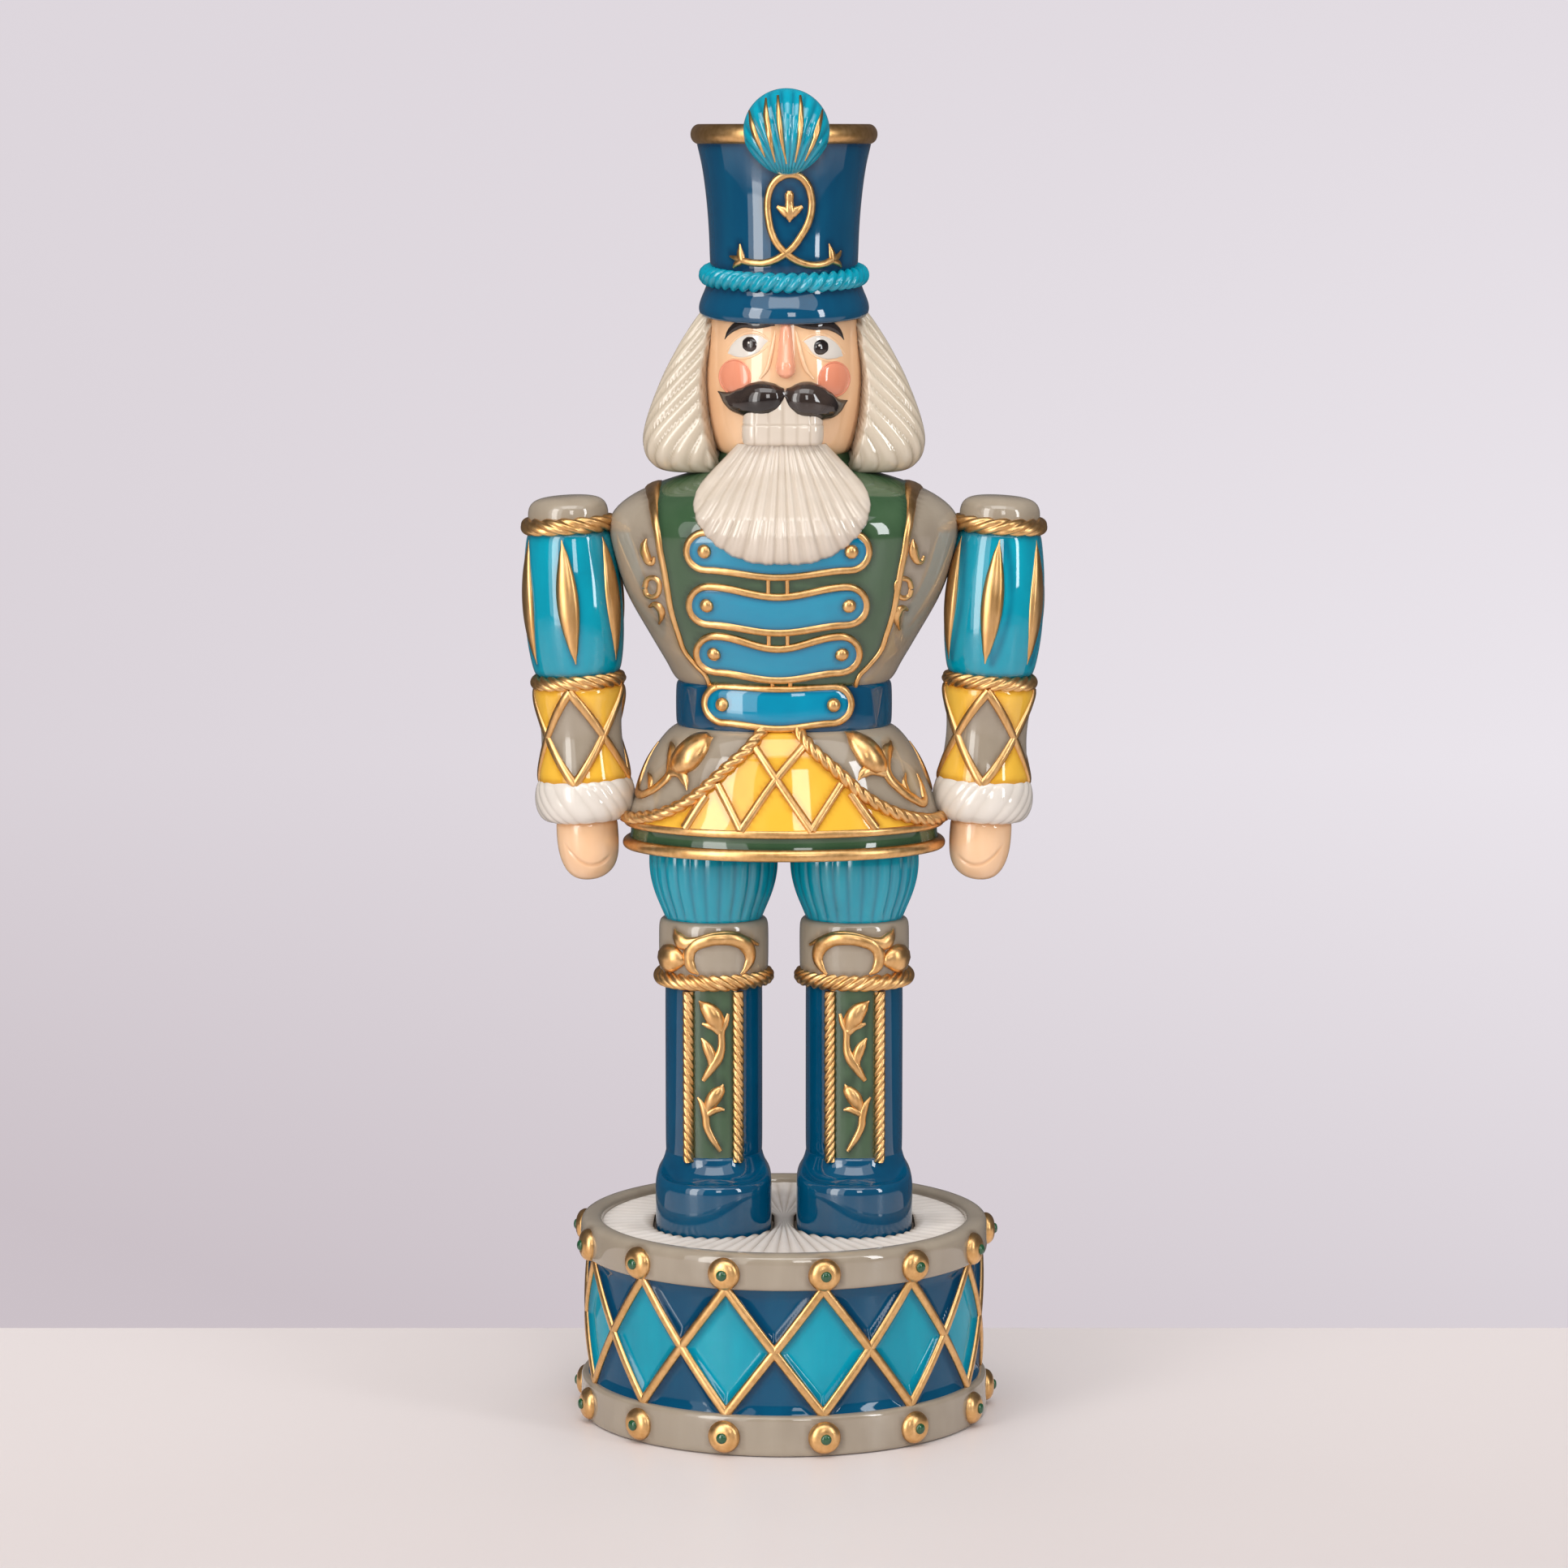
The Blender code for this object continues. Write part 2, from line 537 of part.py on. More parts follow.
def moustache():
    """Two tapered halves that curl up at the ends, kept clear of the face and the teeth."""
    line = [(1.2, -34.2, 396.0, 3.4), (6.0, -36.0, 396.2, 4.9), (12.0, -34.2, 393.0, 5.2),
            (17.5, -30.6, 390.6, 4.0), (21.5, -26.6, 391.2, 2.3), (24.0, -23.6, 393.4, 0.7)]
    for side, word in ((-1, "left"), (1, "right")):
        curve = bpy.data.curves.new(f"moustache_{word}", "CURVE")
        curve.dimensions = "3D"
        curve.bevel_depth = MM
        curve.bevel_resolution = 2
        curve.resolution_u = 3
        curve.use_fill_caps = True
        spline = curve.splines.new("BEZIER")
        spline.bezier_points.add(len(line) - 1)
        for point, (x, y, z, radius) in zip(spline.bezier_points, line):
            point.co = Vector((side * x, y, z)) * MM
            point.radius = radius
            point.handle_left_type = point.handle_right_type = "AUTO"
        half = baked(place(f"moustache_{word}", curve, "black_glaze"))
        combine(half, turned(f"moustache_skin_{word}", solid_profile(FACE, GAP), STEPS_HAT))
        cutter_mesh = bmesh.new()
        bmesh.ops.create_cube(cutter_mesh, size=1.0)
        bmesh.ops.scale(cutter_mesh, vec=(32.2 * MM, 16.8 * MM, 15.8 * MM), verts=cutter_mesh.verts)
        bmesh.ops.translate(cutter_mesh, vec=(-0.4 * MM, -24.5 * MM, 382.6 * MM), verts=cutter_mesh.verts)
        combine(half, place(f"teeth_clearance_{word}", mesh_from(cutter_mesh, f"teeth_clearance_{word}")))


def hair():
    """A flared bob: one half for each side, which meet behind the head and stay open round the face."""
    levels = [(362.8, 40.0, 25.0), (365.4, 47.5, 31.0), (370.0, 52.2, 35.0), (376.2, 53.4, 36.6),
              (382.3, 52.4, 36.2), (388.5, 50.3, 35.2), (394.6, 48.0, 34.0), (400.8, 45.4, 33.0),
              (406.9, 42.0, 31.8), (413.0, 38.6, 31.0), (418.0, 35.2, 30.6), (421.2, 33.2, 30.2)]
    for side, word in ((-1, "left"), (1, "right")):
        rings = []
        for z, half_width, back in levels:
            ring = [(0.2, back), (0.2, 12.0), (20.0, 2.0)]
            turns = [math.radians(-28 + 118 * i / 9) for i in range(10)]
            ring += [(half_width * math.cos(t), 3.0 + (back - 3.0) * math.sin(t)) for t in turns[:-1]]
            rings.append([(side * x, y, z) for x, y in ring])
        wing = loft(f"hair_{word}", rings, "hair_glaze")
        face_skin = solid_profile(FACE[:-2] + [(27.9, 350.0)], GAP)
        coat_skin = solid_profile(COAT[1:], GAP)
        combine(wing, turned(f"hair_face_skin_{word}", face_skin, STEPS_HAT))
        combine(wing, turned(f"hair_coat_skin_{word}", coat_skin, STEPS_BODY, depth=BODY_DEPTH))


def beard_outline():
    """A fan: narrow under the teeth, widest at the chest, with a round lower edge."""
    outline = [(-17.0, 373.6)]
    outline += [(-26.0, 365.5), (-33.2, 357.5)]
    for i in range(13):
        t = math.pi * (1 + i / 12)
        outline.append((-0.8 + 34.6 * math.cos(t), 352.0 + 19.0 * math.sin(t)))
    outline += [(31.6, 357.5), (24.6, 365.5), (15.8, 373.6)]
    return outline


def beard_envelope(name, grow):
    profile = [(43.0, 374.0), (48.5, 370.0), (56.0, 364.0), (63.0, 356.0), (66.8, 347.0), (67.8, 338.0),
               (66.0, 332.0)]
    return turned(name, solid_profile([(r + grow, z) for r, z in profile]), STEPS_BODY, depth=BODY_DEPTH)


def beard_cutter(name, grow):
    """The beard's outline, a little larger, which the top strap is trimmed to."""
    outline = [(x * (1 + grow / 34), 352.0 + (z - 352.0) * (1 + grow / 19)) for x, z in beard_outline()]
    return prism(name, [outline], near=1.0, far=70.0)


# ---------------------------------------------------------------- hat

def hat():
    turned("hat_crown", solid_profile(CROWN), STEPS_HAT, "navy_glaze")
    rim = [(31.6, 494.6), (34.0, 493.8), (35.3, 491.6), (35.0, 489.2), (33.6, 487.4), (32.0, 486.7),
           (28.4, 486.7), (28.0, 490.0), (29.0, 493.6)]
    turned("hat_rim", rim, STEPS_HAT, "gold_lustre", closed=True)
    turned("hat_rope", [(28.5, 442.6), (30.2, 441.8), (31.0, 439.6), (31.0, 435.6), (30.2, 433.4),
                        (28.5, 432.6)], STEPS_HAT, "teal_glaze", closed=True)
    turned("hat_visor", [(28.6, 431.4), (29.6, 431.2), (30.2, 428.0), (31.8, 424.6), (32.0, 422.8),
                         (31.0, 421.6), (29.4, 421.6), (29.0, 426.0)], STEPS_HAT, "navy_glaze", closed=True)
    pompom()
    ornament_line = loop_line()
    relief("hat_loop", [loop_outer(ornament_line), loop_hole()], CROWN, 1.6, "gold_lustre", STEPS_HAT)
    relief("hat_badge", [badge_outline()], CROWN, 1.3, "gold_lustre", STEPS_HAT)


LOOP_X = 1.8
LOOP_TOP, LOOP_CROSS = 476.2, 446.4


def loop_line(points=17):
    """The loop's middle line: an egg shape that narrows to where its ends cross."""
    line = []
    for i in range(points):
        t = math.pi * (i / (points - 1) * 2 - 1)
        line.append((LOOP_X + 8.6 * math.sin(t) * (0.78 + 0.30 * math.cos(t)),
                     LOOP_CROSS + (LOOP_TOP - 1.4 - LOOP_CROSS) * (0.5 + 0.5 * math.cos(t))))
    return line


def loop_outer(line):
    """Outside of the loop with its two tails, drawn in one run."""
    loop = [(LOOP_X + (x - LOOP_X) * 1.17, LOOP_CROSS + (z - LOOP_CROSS) * 1.05) for x, z in line[2:-2]]
    tail = [(LOOP_X - 3.4, 447.0), (-7.0, 446.4), (-13.0, 447.2), (-15.4, 450.0), (-17.0, 448.0),
            (-19.6, 447.4), (-17.8, 445.4), (-18.6, 443.1), (-15.0, 443.9), (-8.0, 443.3), (-2.0, 443.6)]
    right = [(2 * LOOP_X - x, z) for x, z in reversed(tail)]
    return tail[::-1] + loop + right[::-1]


def loop_hole():
    return [(LOOP_X + (x - LOOP_X) * 0.80, 463.0 + (z - 461.0) * 0.80) for x, z in loop_line(15)[:-1]]


def badge_outline():
    """A small three-lobed drop inside the loop."""
    half = [(0.0, 469.6), (1.2, 468.8), (1.3, 465.0), (3.0, 464.6), (4.4, 463.8), (3.6, 461.4), (1.6, 459.0),
            (0.0, 458.2)]
    return [(LOOP_X + x, z) for x, z in half] + [(LOOP_X - x, z) for x, z in half[-2:0:-1]]


def pompom():
    """A flattened ball in front of the hat, whose back is cut to the hat and its rim."""
    bm = bmesh.new()
    bmesh.ops.create_uvsphere(bm, u_segments=18, v_segments=10, radius=16.6 * MM)
    bmesh.ops.scale(bm, vec=(1.0, 0.62, 0.97), verts=bm.verts)
    bmesh.ops.translate(bm, vec=(0.6 * MM, -31.0 * MM, 491.9 * MM), verts=bm.verts)
    ball = place("pompom", mesh_from(bm, "pompom"), "teal_glaze")
    body = CROWN[:-1] + [(28.1, 440.0)]
    behind = [(35.6, 496.0), (35.6, 489.0), (34.0, 487.0)] + body[1:]
    combine(ball, turned("pompom_hat_skin", solid_profile(behind), STEPS_HAT))
    tail = [(LOOP_X - 9, 470.0), (LOOP_X + 9, 470.0), (LOOP_X + 9, 477.2), (LOOP_X - 9, 477.2)]
    combine(ball, prism("pompom_loop_clearance", [tail], near=2.0, far=60.0))


def main():
    drum()
    for side, word in ((-1, "left"), (1, "right")):
        leg(side, word)
        arm(side, word)
    coat()
    head()
    hat()


main()
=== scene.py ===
import math

import bpy
from mathutils import Matrix, Vector
from mathutils.bvhtree import BVHTree
from mathutils.interpolate import poly_3d_calc
from mathutils.kdtree import KDTree


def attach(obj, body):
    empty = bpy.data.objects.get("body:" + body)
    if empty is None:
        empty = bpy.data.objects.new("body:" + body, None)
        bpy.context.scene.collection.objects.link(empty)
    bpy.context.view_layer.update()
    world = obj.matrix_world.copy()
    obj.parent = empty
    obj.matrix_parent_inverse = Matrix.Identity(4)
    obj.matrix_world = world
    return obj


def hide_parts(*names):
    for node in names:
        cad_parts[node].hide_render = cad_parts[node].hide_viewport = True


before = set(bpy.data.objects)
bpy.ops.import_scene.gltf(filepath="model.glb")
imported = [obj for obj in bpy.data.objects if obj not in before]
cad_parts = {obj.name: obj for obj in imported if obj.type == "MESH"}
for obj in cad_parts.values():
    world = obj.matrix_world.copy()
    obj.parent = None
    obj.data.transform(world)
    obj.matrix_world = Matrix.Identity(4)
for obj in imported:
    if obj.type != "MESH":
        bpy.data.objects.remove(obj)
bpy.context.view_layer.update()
mm = 0.001
farOff = 0.3        # metres; sight lines start this far out, clear of the figure
print("frame loaded:", len(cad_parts), "nodes")


# ---- bench tools: picking up, turning, pressing and laying on

def letGo():
    if bpy.context.mode != "OBJECT":
        bpy.ops.object.mode_set(mode="OBJECT")
    bpy.ops.object.select_all(action="DESELECT")


def pickUp(piece):
    letGo()
    piece.select_set(True)
    bpy.context.view_layer.objects.active = piece


def justMade(name):
    piece = bpy.context.object
    piece.name = piece.data.name = name
    return piece


def applyAll(piece):
    pickUp(piece)
    for modifier in list(piece.modifiers):
        bpy.ops.object.modifier_apply(modifier=modifier.name)


def faceOutwards(piece, inside=False):
    # inside says that every face points the wrong way and is only turned round
    pickUp(piece)
    bpy.ops.object.mode_set(mode="EDIT")
    bpy.ops.mesh.select_all(action="SELECT")
    if inside:
        bpy.ops.mesh.flip_normals()
    else:
        bpy.ops.mesh.normals_make_consistent(inside=False)
    bpy.ops.object.mode_set(mode="OBJECT")


def smoothOver(piece, levels=0):
    # rounds the piece off, where levels are given, and shades it smooth
    if levels:
        pickUp(piece)
        bpy.ops.object.modifier_add(type="SUBSURF")
        piece.modifiers[-1].levels = piece.modifiers[-1].render_levels = levels
        piece.modifiers[-1].use_limit_surface = False
        applyAll(piece)
    pickUp(piece)
    bpy.ops.object.shade_smooth()


def thicken(piece, thickness):
    # gives a sheet its wall, inwards from its face
    pickUp(piece)
    bpy.ops.object.modifier_add(type="SOLIDIFY")
    piece.modifiers[-1].thickness = thickness * mm
    piece.modifiers[-1].offset = -1
    applyAll(piece)
    smoothOver(piece)


def stackRings(name, count, sides, place, smoothing=2, hoop=False):
    # a tube of rings from the bottom up, its ends capped or, in a hoop, joined;
    # place(ring, angle) gives a point in millimetres, with angle 0 at the front
    letGo()
    bpy.ops.mesh.primitive_circle_add(vertices=sides, radius=1.0, fill_type="NOTHING", location=(0, 0, 0))
    piece = justMade(name)
    bpy.ops.object.mode_set(mode="EDIT")
    bpy.ops.mesh.select_all(action="SELECT")
    for _ in range(count - 1):
        bpy.ops.mesh.extrude_region_move(TRANSFORM_OT_translate={"value": (0, 0, 1)})
    if hoop:
        bpy.ops.mesh.select_all(action="DESELECT")
        bpy.ops.mesh.select_non_manifold()
        bpy.ops.mesh.bridge_edge_loops()
    else:
        bpy.ops.mesh.select_all(action="SELECT")
        bpy.ops.mesh.fill_holes(sides=0)
    bpy.ops.object.mode_set(mode="OBJECT")
    for vertex in piece.data.vertices:
        x, y, z = vertex.co
        vertex.co = Vector(place(round(z), math.atan2(x, -y))) * mm
    faceOutwards(piece)
    smoothOver(piece, smoothing)
    return piece


def throwOnWheel(name, outline, sides=32, depth=1.0, middle=(0.0, 0.0), smoothing=2, tilt=0.0, hoop=False):
    # outline holds (radius, height) from the bottom up; depth squashes it front to back
    def place(ring, angle):
        radius, height = outline[ring]
        y = -depth * radius * math.cos(angle)
        return middle[0] + radius * math.sin(angle), middle[1] + y, height + tilt * y
    return stackRings(name, len(outline), sides, place, smoothing, hoop)


def press(piece, rule):
    # moves each point out along its normal by rule(x, y, z) millimetres
    mesh = piece.data
    normals = [vertex.normal.copy() for vertex in mesh.vertices]
    for vertex, normal in zip(mesh.vertices, normals):
        vertex.co += normal * rule(*(vertex.co / mm)) * mm
    mesh.update()


def fieldOn(piece, name):
    return piece.data.attributes.get(name) or piece.data.attributes.new(name, "FLOAT", "POINT")


def paintField(piece, name, rule):
    # stores a value per point that a glaze can read
    values = [float(rule(*(vertex.co / mm))) for vertex in piece.data.vertices]
    fieldOn(piece, name).data.foreach_set("value", values)


def poolAndShadeBeside(piece, raised, reach=1.3, strength=1.0):
    # darkens the corners beside raised work, partly glaze gathering there and partly painted shade
    points = [vertex.co for other in raised for vertex in other.data.vertices]
    tree = KDTree(len(points))
    for i, point in enumerate(points):
        tree.insert(point, i)
    tree.balance()
    poolAndShade = fieldOn(piece, "poolAndShade")
    old = [0.0] * len(piece.data.vertices)
    poolAndShade.data.foreach_get("value", old)
    gaps = [tree.find(vertex.co)[2] / mm for vertex in piece.data.vertices]
    near = [strength * math.exp(-(gap / reach) ** 2) for gap in gaps]
    poolAndShade.data.foreach_set("value", [max(a, b) for a, b in zip(old, near)])


def surfaceFinder(onto):
    # finds the point, and the smooth normal there, that a ray meets on a body
    mesh = onto.data
    tree = BVHTree.FromPolygons([v.co for v in mesh.vertices], [p.vertices for p in mesh.polygons])

    def find(origin, direction):
        spot, _, face, _ = tree.ray_cast(origin, direction)
        if spot is None:
            spot, _, face, _ = tree.find_nearest(origin + direction * farOff)
        corners = [mesh.vertices[i] for i in mesh.polygons[face].vertices]
        shares = poly_3d_calc([corner.co for corner in corners], spot)
        normal = sum((corner.normal * share for corner, share in zip(corners, shares)), Vector())
        return spot, normal.normalized()
    return find


def sightLine(point, wrap=0.0, middle=(0.0, 0.0)):
    # the ray that finds the place of a point (x, z) of a flat drawing: straight in from the front,
    # or, where the drawing wraps round a radius, in towards an upright axis
    if wrap:
        angle = point[0] / wrap
        away = Vector((math.sin(angle), -math.cos(angle), 0))
        return Vector((middle[0] * mm, middle[1] * mm, point[1] * mm)) + away * farOff, -away
    return Vector((point[0] * mm, -farOff, point[1] * mm)), Vector((0, 1, 0))


def layOn(piece, onto, wrap=0.0, middle=(0.0, 0.0)):
    # bends flat work, drawn in x and z with its face towards -y, on to a body
    find = surfaceFinder(onto)
    for vertex in piece.data.vertices:
        x, y, z = vertex.co / mm
        spot, normal = find(*sightLine((x, z), wrap, middle))
        vertex.co = spot - normal * y * mm
    piece.data.update()
    faceOutwards(piece)


def joinUp(name, parts):
    pickUp(parts[0])
    for part in parts:
        part.select_set(True)
    if len(parts) > 1:
        bpy.ops.object.join()
    parts[0].name = parts[0].data.name = name
    return parts[0]


def drawStroke(run, closed=False, facets=3):
    # a round-bodied stroke through (x, z, half width)
    letGo()
    bpy.ops.curve.primitive_bezier_curve_add(location=(0, 0, 0))
    stroke = bpy.context.object
    curve = stroke.data
    curve.bevel_depth = mm
    curve.bevel_resolution = facets
    curve.resolution_u = 8
    curve.use_fill_caps = True
    spline = curve.splines[0]
    spline.bezier_points.add(len(run) - 2)
    spline.use_cyclic_u = closed
    spline.radius_interpolation = "CARDINAL"
    for knot, (x, z, width) in zip(spline.bezier_points, run):
        knot.co = (x * mm, 0, z * mm)
        knot.radius = width
        knot.handle_left_type = knot.handle_right_type = "AUTO"
    bpy.ops.object.convert(target="MESH")
    return bpy.context.object


def fuller(runs, share):
    # the same strokes with a heavier hand
    return [[(x, z, width * share) for x, z, width in run] for run in runs]


def modelStrokes(name, runs, onto, rise=0.6, wrap=0.0, middle=(0.0, 0.0), closed=False, facets=3):
    # slip-trailed relief: strokes joined into one piece and laid on a body
    piece = joinUp(name, [drawStroke(run, closed, facets) for run in runs])
    for vertex in piece.data.vertices:
        vertex.co.y *= rise
    layOn(piece, onto, wrap, middle)
    smoothOver(piece)
    return piece


def evenly(points, step):
    # the same line with points a step apart, rounded through its corners
    fine = []
    for i in range(len(points) - 1):
        a, b = points[max(i - 1, 0)], points[i]
        c, d = points[i + 1], points[min(i + 2, len(points) - 1)]
        for k in range(12):
            t = k / 12
            fine.append(0.5 * (2 * b + (c - a) * t + (2 * a - 5 * b + 4 * c - d) * t ** 2
                               + (3 * b - a - 3 * c + d) * t ** 3))
    fine.append(points[-1])
    made, left = [fine[0]], step
    for a, b in zip(fine, fine[1:]):
        length = (b - a).length
        while length and left <= length:
            made.append(a.lerp(b, left / length))
            left += step
        left -= length
    return made


def twistCord(name, path, thickness, lay, closed=False, strands=2, hand=1, depth=0.32, step=0.6):
    # a twisted cord along a line in millimetres; lay is the length of one whole turn,
    # depth how far the grooves between its strands go in, and hand 1 or -1 the way it turns
    letGo()
    bpy.ops.curve.primitive_bezier_circle_add(location=(0, 0, 0))
    lobes = bpy.context.object
    lobes.data.splines.clear()
    outline = lobes.data.splines.new("POLY")
    sides = 8 * strands
    outline.points.add(sides - 1)
    outline.use_cyclic_u = True
    for i, point in enumerate(outline.points):
        turn = math.tau * i / sides
        radius = thickness * mm * (1 - depth + depth * abs(math.cos(strands * turn / 2)))
        point.co = (radius * math.cos(turn), radius * math.sin(turn), 0, 1)
    letGo()
    bpy.ops.curve.primitive_nurbs_path_add(location=(0, 0, 0))
    cord = justMade(name)
    cord.data.splines.clear()
    line = cord.data.splines.new("POLY")
    points = path if closed else evenly(path, step)
    line.points.add(len(points) - 1)
    line.use_cyclic_u = closed
    run = 0.0
    whole = sum((b - a).length for a, b in zip(points, points[1:] + points[:1]))
    turns = round(whole / lay) if closed else whole / lay
    for i, (point, spot) in enumerate(zip(line.points, points)):
        if i:
            run += (spot - points[i - 1]).length
        point.co = (*(spot * mm), 1)
        point.tilt = hand * math.tau * turns * run / whole
    cord.data.bevel_mode = "OBJECT"
    cord.data.bevel_object = lobes
    cord.data.use_fill_caps = True
    pickUp(cord)
    bpy.ops.object.convert(target="MESH")
    cord = bpy.context.object
    bpy.data.objects.remove(lobes)
    faceOutwards(cord)
    smoothOver(cord)
    return cord


def ringPath(radius, height, middle=(0.0, 0.0), tilt=0.0, count=200):
    path = []
    for i in range(count):
        turn = math.tau * i / count
        y = -radius * math.cos(turn)
        path.append(Vector((middle[0] + radius * math.sin(turn), middle[1] + y, height + tilt * y)))
    return path


def cordOn(name, flat, onto, thickness, lay, wrap=0.0, middle=(0.0, 0.0), proud=0.4, **more):
    # a cord whose line is drawn flat and laid on a body, its middle proud of it by a share of the thickness
    find = surfaceFinder(onto)
    path = []
    for point in evenly([Vector((x, z, 0)) for x, z in flat], 2.0):
        spot, normal = find(*sightLine(point, wrap, middle))
        path.append(spot / mm + normal * thickness * proud)
    return twistCord(name, path, thickness, lay, **more)


def otherSide(piece, name):
    # a mirrored copy with its own mesh
    pickUp(piece)
    bpy.ops.object.duplicate(linked=False)
    copy = justMade(name)
    for vertex in copy.data.vertices:
        vertex.co.x = -vertex.co.x
    faceOutwards(copy, inside=True)
    return copy


def copiesOf(piece, name, places):
    # the same casting at every place, each with its own mesh
    made = []
    for place in places:
        pickUp(piece)
        bpy.ops.object.duplicate(linked=False)
        copy = bpy.context.object
        copy.data.transform(place)
        made.append(copy)
    bpy.data.objects.remove(piece)
    return joinUp(name, made)


def fade(value, low, high):
    # from 0 below low to 1 above high, with soft ends
    t = min(1.0, max(0.0, (value - low) / (high - low)))
    return t * t * (3 - 2 * t)


def along(table, at):
    # reads a value off a table of (position, value) pairs, lowest position first
    if at <= table[0][0]:
        return table[0][1]
    for (a, low), (b, high) in zip(table, table[1:]):
        if at <= b:
            return low + (high - low) * (at - a) / (b - a)
    return table[-1][1]


def squarer(value, power):
    # a sine or cosine that swells a round outline towards a square one
    return math.copysign(abs(value) ** power, value)


# ---- glazes

class Brush:
    # a socket that takes part in sums
    def __init__(self, tree, socket=None):
        self.tree = tree
        self.socket = socket

    def node(self, kind, settings, values, result=0):
        made = self.tree.nodes.new(kind)
        for key, value in settings.items():
            setattr(made, key, value)
        for key, value in values.items():
            if isinstance(value, Brush):
                self.tree.links.new(value.socket, made.inputs[key])
            else:
                made.inputs[key].default_value = value
        return Brush(self.tree, made.outputs[result])

    def sum(self, operation, *values):
        return self.node("ShaderNodeMath", {"operation": operation}, dict(enumerate(values)))

    def __add__(self, other):
        return self.sum("ADD", self, other)

    def __sub__(self, other):
        return self.sum("SUBTRACT", self, other)

    def __rsub__(self, other):
        return self.sum("SUBTRACT", other, self)

    def __mul__(self, other):
        return self.sum("MULTIPLY", self, other)

    def __truediv__(self, other):
        return self.sum("DIVIDE", self, other)

    __radd__ = __add__
    __rmul__ = __mul__

    def clamp(self):
        return self.node("ShaderNodeClamp", {}, {0: self})

    def mix(self, low, high):
        # self is the share of high
        low = (*low, 1.0) if isinstance(low, tuple) else low
        high = (*high, 1.0) if isinstance(high, tuple) else high
        return self.node("ShaderNodeMix", {"data_type": "RGBA"}, {0: self, 6: low, 7: high}, 2)


def startGlaze(name):
    material = bpy.data.materials.new(name)
    material.use_nodes = True
    tree = material.node_tree
    shader = tree.nodes["Principled BSDF"]
    brush = Brush(tree)
    place = brush.node("ShaderNodeTexCoord", {}, {}, "Object")
    return material, shader, brush, place


def noise(brush, place, scale, stretch=(1, 1, 1), detail=2.0):
    moved = brush.node("ShaderNodeMapping", {}, {"Vector": place, "Scale": stretch})
    return brush.node("ShaderNodeTexNoise", {}, {"Vector": moved, "Scale": scale, "Detail": detail})


def painted(brush, name):
    # the value that paintField stored
    return brush.node("ShaderNodeAttribute", {"attribute_name": name}, {}, "Fac")


topCoat = {"roughness": 0.045, "ior": 1.68}


def finishGlaze(material, shader, brush, colour, height, strength, roughness, coat):
    tree = material.node_tree
    tree.links.new(colour.socket, shader.inputs["Base Color"])
    bump = brush.node("ShaderNodeBump", {}, {"Strength": strength, "Distance": mm, "Height": height})
    tree.links.new(bump.socket, shader.inputs["Normal"])
    if isinstance(roughness, Brush):
        tree.links.new(roughness.socket, shader.inputs["Roughness"])
    else:
        shader.inputs["Roughness"].default_value = roughness
    shader.inputs["Coat Weight"].default_value = coat
    shader.inputs["Coat Roughness"].default_value = topCoat["roughness"]
    shader.inputs["Coat IOR"].default_value = topCoat["ior"]
    return material


def paintedColour(brush, place, tone, brushing):
    # body colour, thinner where the brush dragged, darker at random where the glaze gathered, and darker
    # again in corners and grooves, partly glaze gathering and partly painted shade
    cloud = noise(brush, place, 38.0, detail=3.0)
    drag = noise(brush, place, 90.0, brushing, 3.0)
    thin = ((drag * 0.62 + cloud * 0.38 - 0.42) * 3.2).clamp() * tone.get("streaks", 0.5)
    colour = thin.mix(tone["body"], tone["thin"])
    deep = ((cloud - 0.52) * 4.0).clamp() * 0.28
    colour = deep.mix(colour, tone["pooledAndShaded"])
    return painted(brush, "poolAndShade").clamp().mix(colour, tone["pooledAndShaded"])


def glaze(name, tone, second=None, mask=None, brushing=(1, 1, 0.22), ripple=0.35, edge=0.06, coat=1.0):
    # one glaze, or two that meet where the painted field called mask crosses zero
    material, shader, brush, place = startGlaze(name)
    colour = paintedColour(brush, place, tone, brushing)
    if second:
        wobble = (noise(brush, place, 260.0) - 0.5) * edge
        share = ((painted(brush, mask) + wobble) / edge + 0.5).clamp()
        colour = share.mix(colour, paintedColour(brush, place, second, brushing))
    height = noise(brush, place, 70.0) * 0.8 + noise(brush, place, 420.0, detail=1.0) * 0.12
    shader.inputs["Specular IOR Level"].default_value = 0.0
    return finishGlaze(material, shader, brush, colour, height, ripple, 0.4, coat)


def lustre(name, tone, brushing=(1, 1, 0.15)):
    # fired gold: satin, with the drag of the brush in it and brown in the corners, partly gold lying thin and
    # partly painted shade
    material, shader, brush, place = startGlaze(name)
    cloud = noise(brush, place, 120.0, detail=3.0)
    drag = noise(brush, place, 520.0, brushing, 4.0)
    colour = ((drag * 0.6 + cloud * 0.4 - 0.34) * 2.6).clamp().mix(tone["deep"], tone["body"])
    colour = painted(brush, "poolAndShade").clamp().mix(colour, tone["pooledAndShaded"])
    height = drag * 0.05 + noise(brush, place, 130.0) * 0.5
    shader.inputs["Metallic"].default_value = 1.0
    return finishGlaze(material, shader, brush, colour, height, 0.12, 0.26 + drag * 0.16, 0.1)


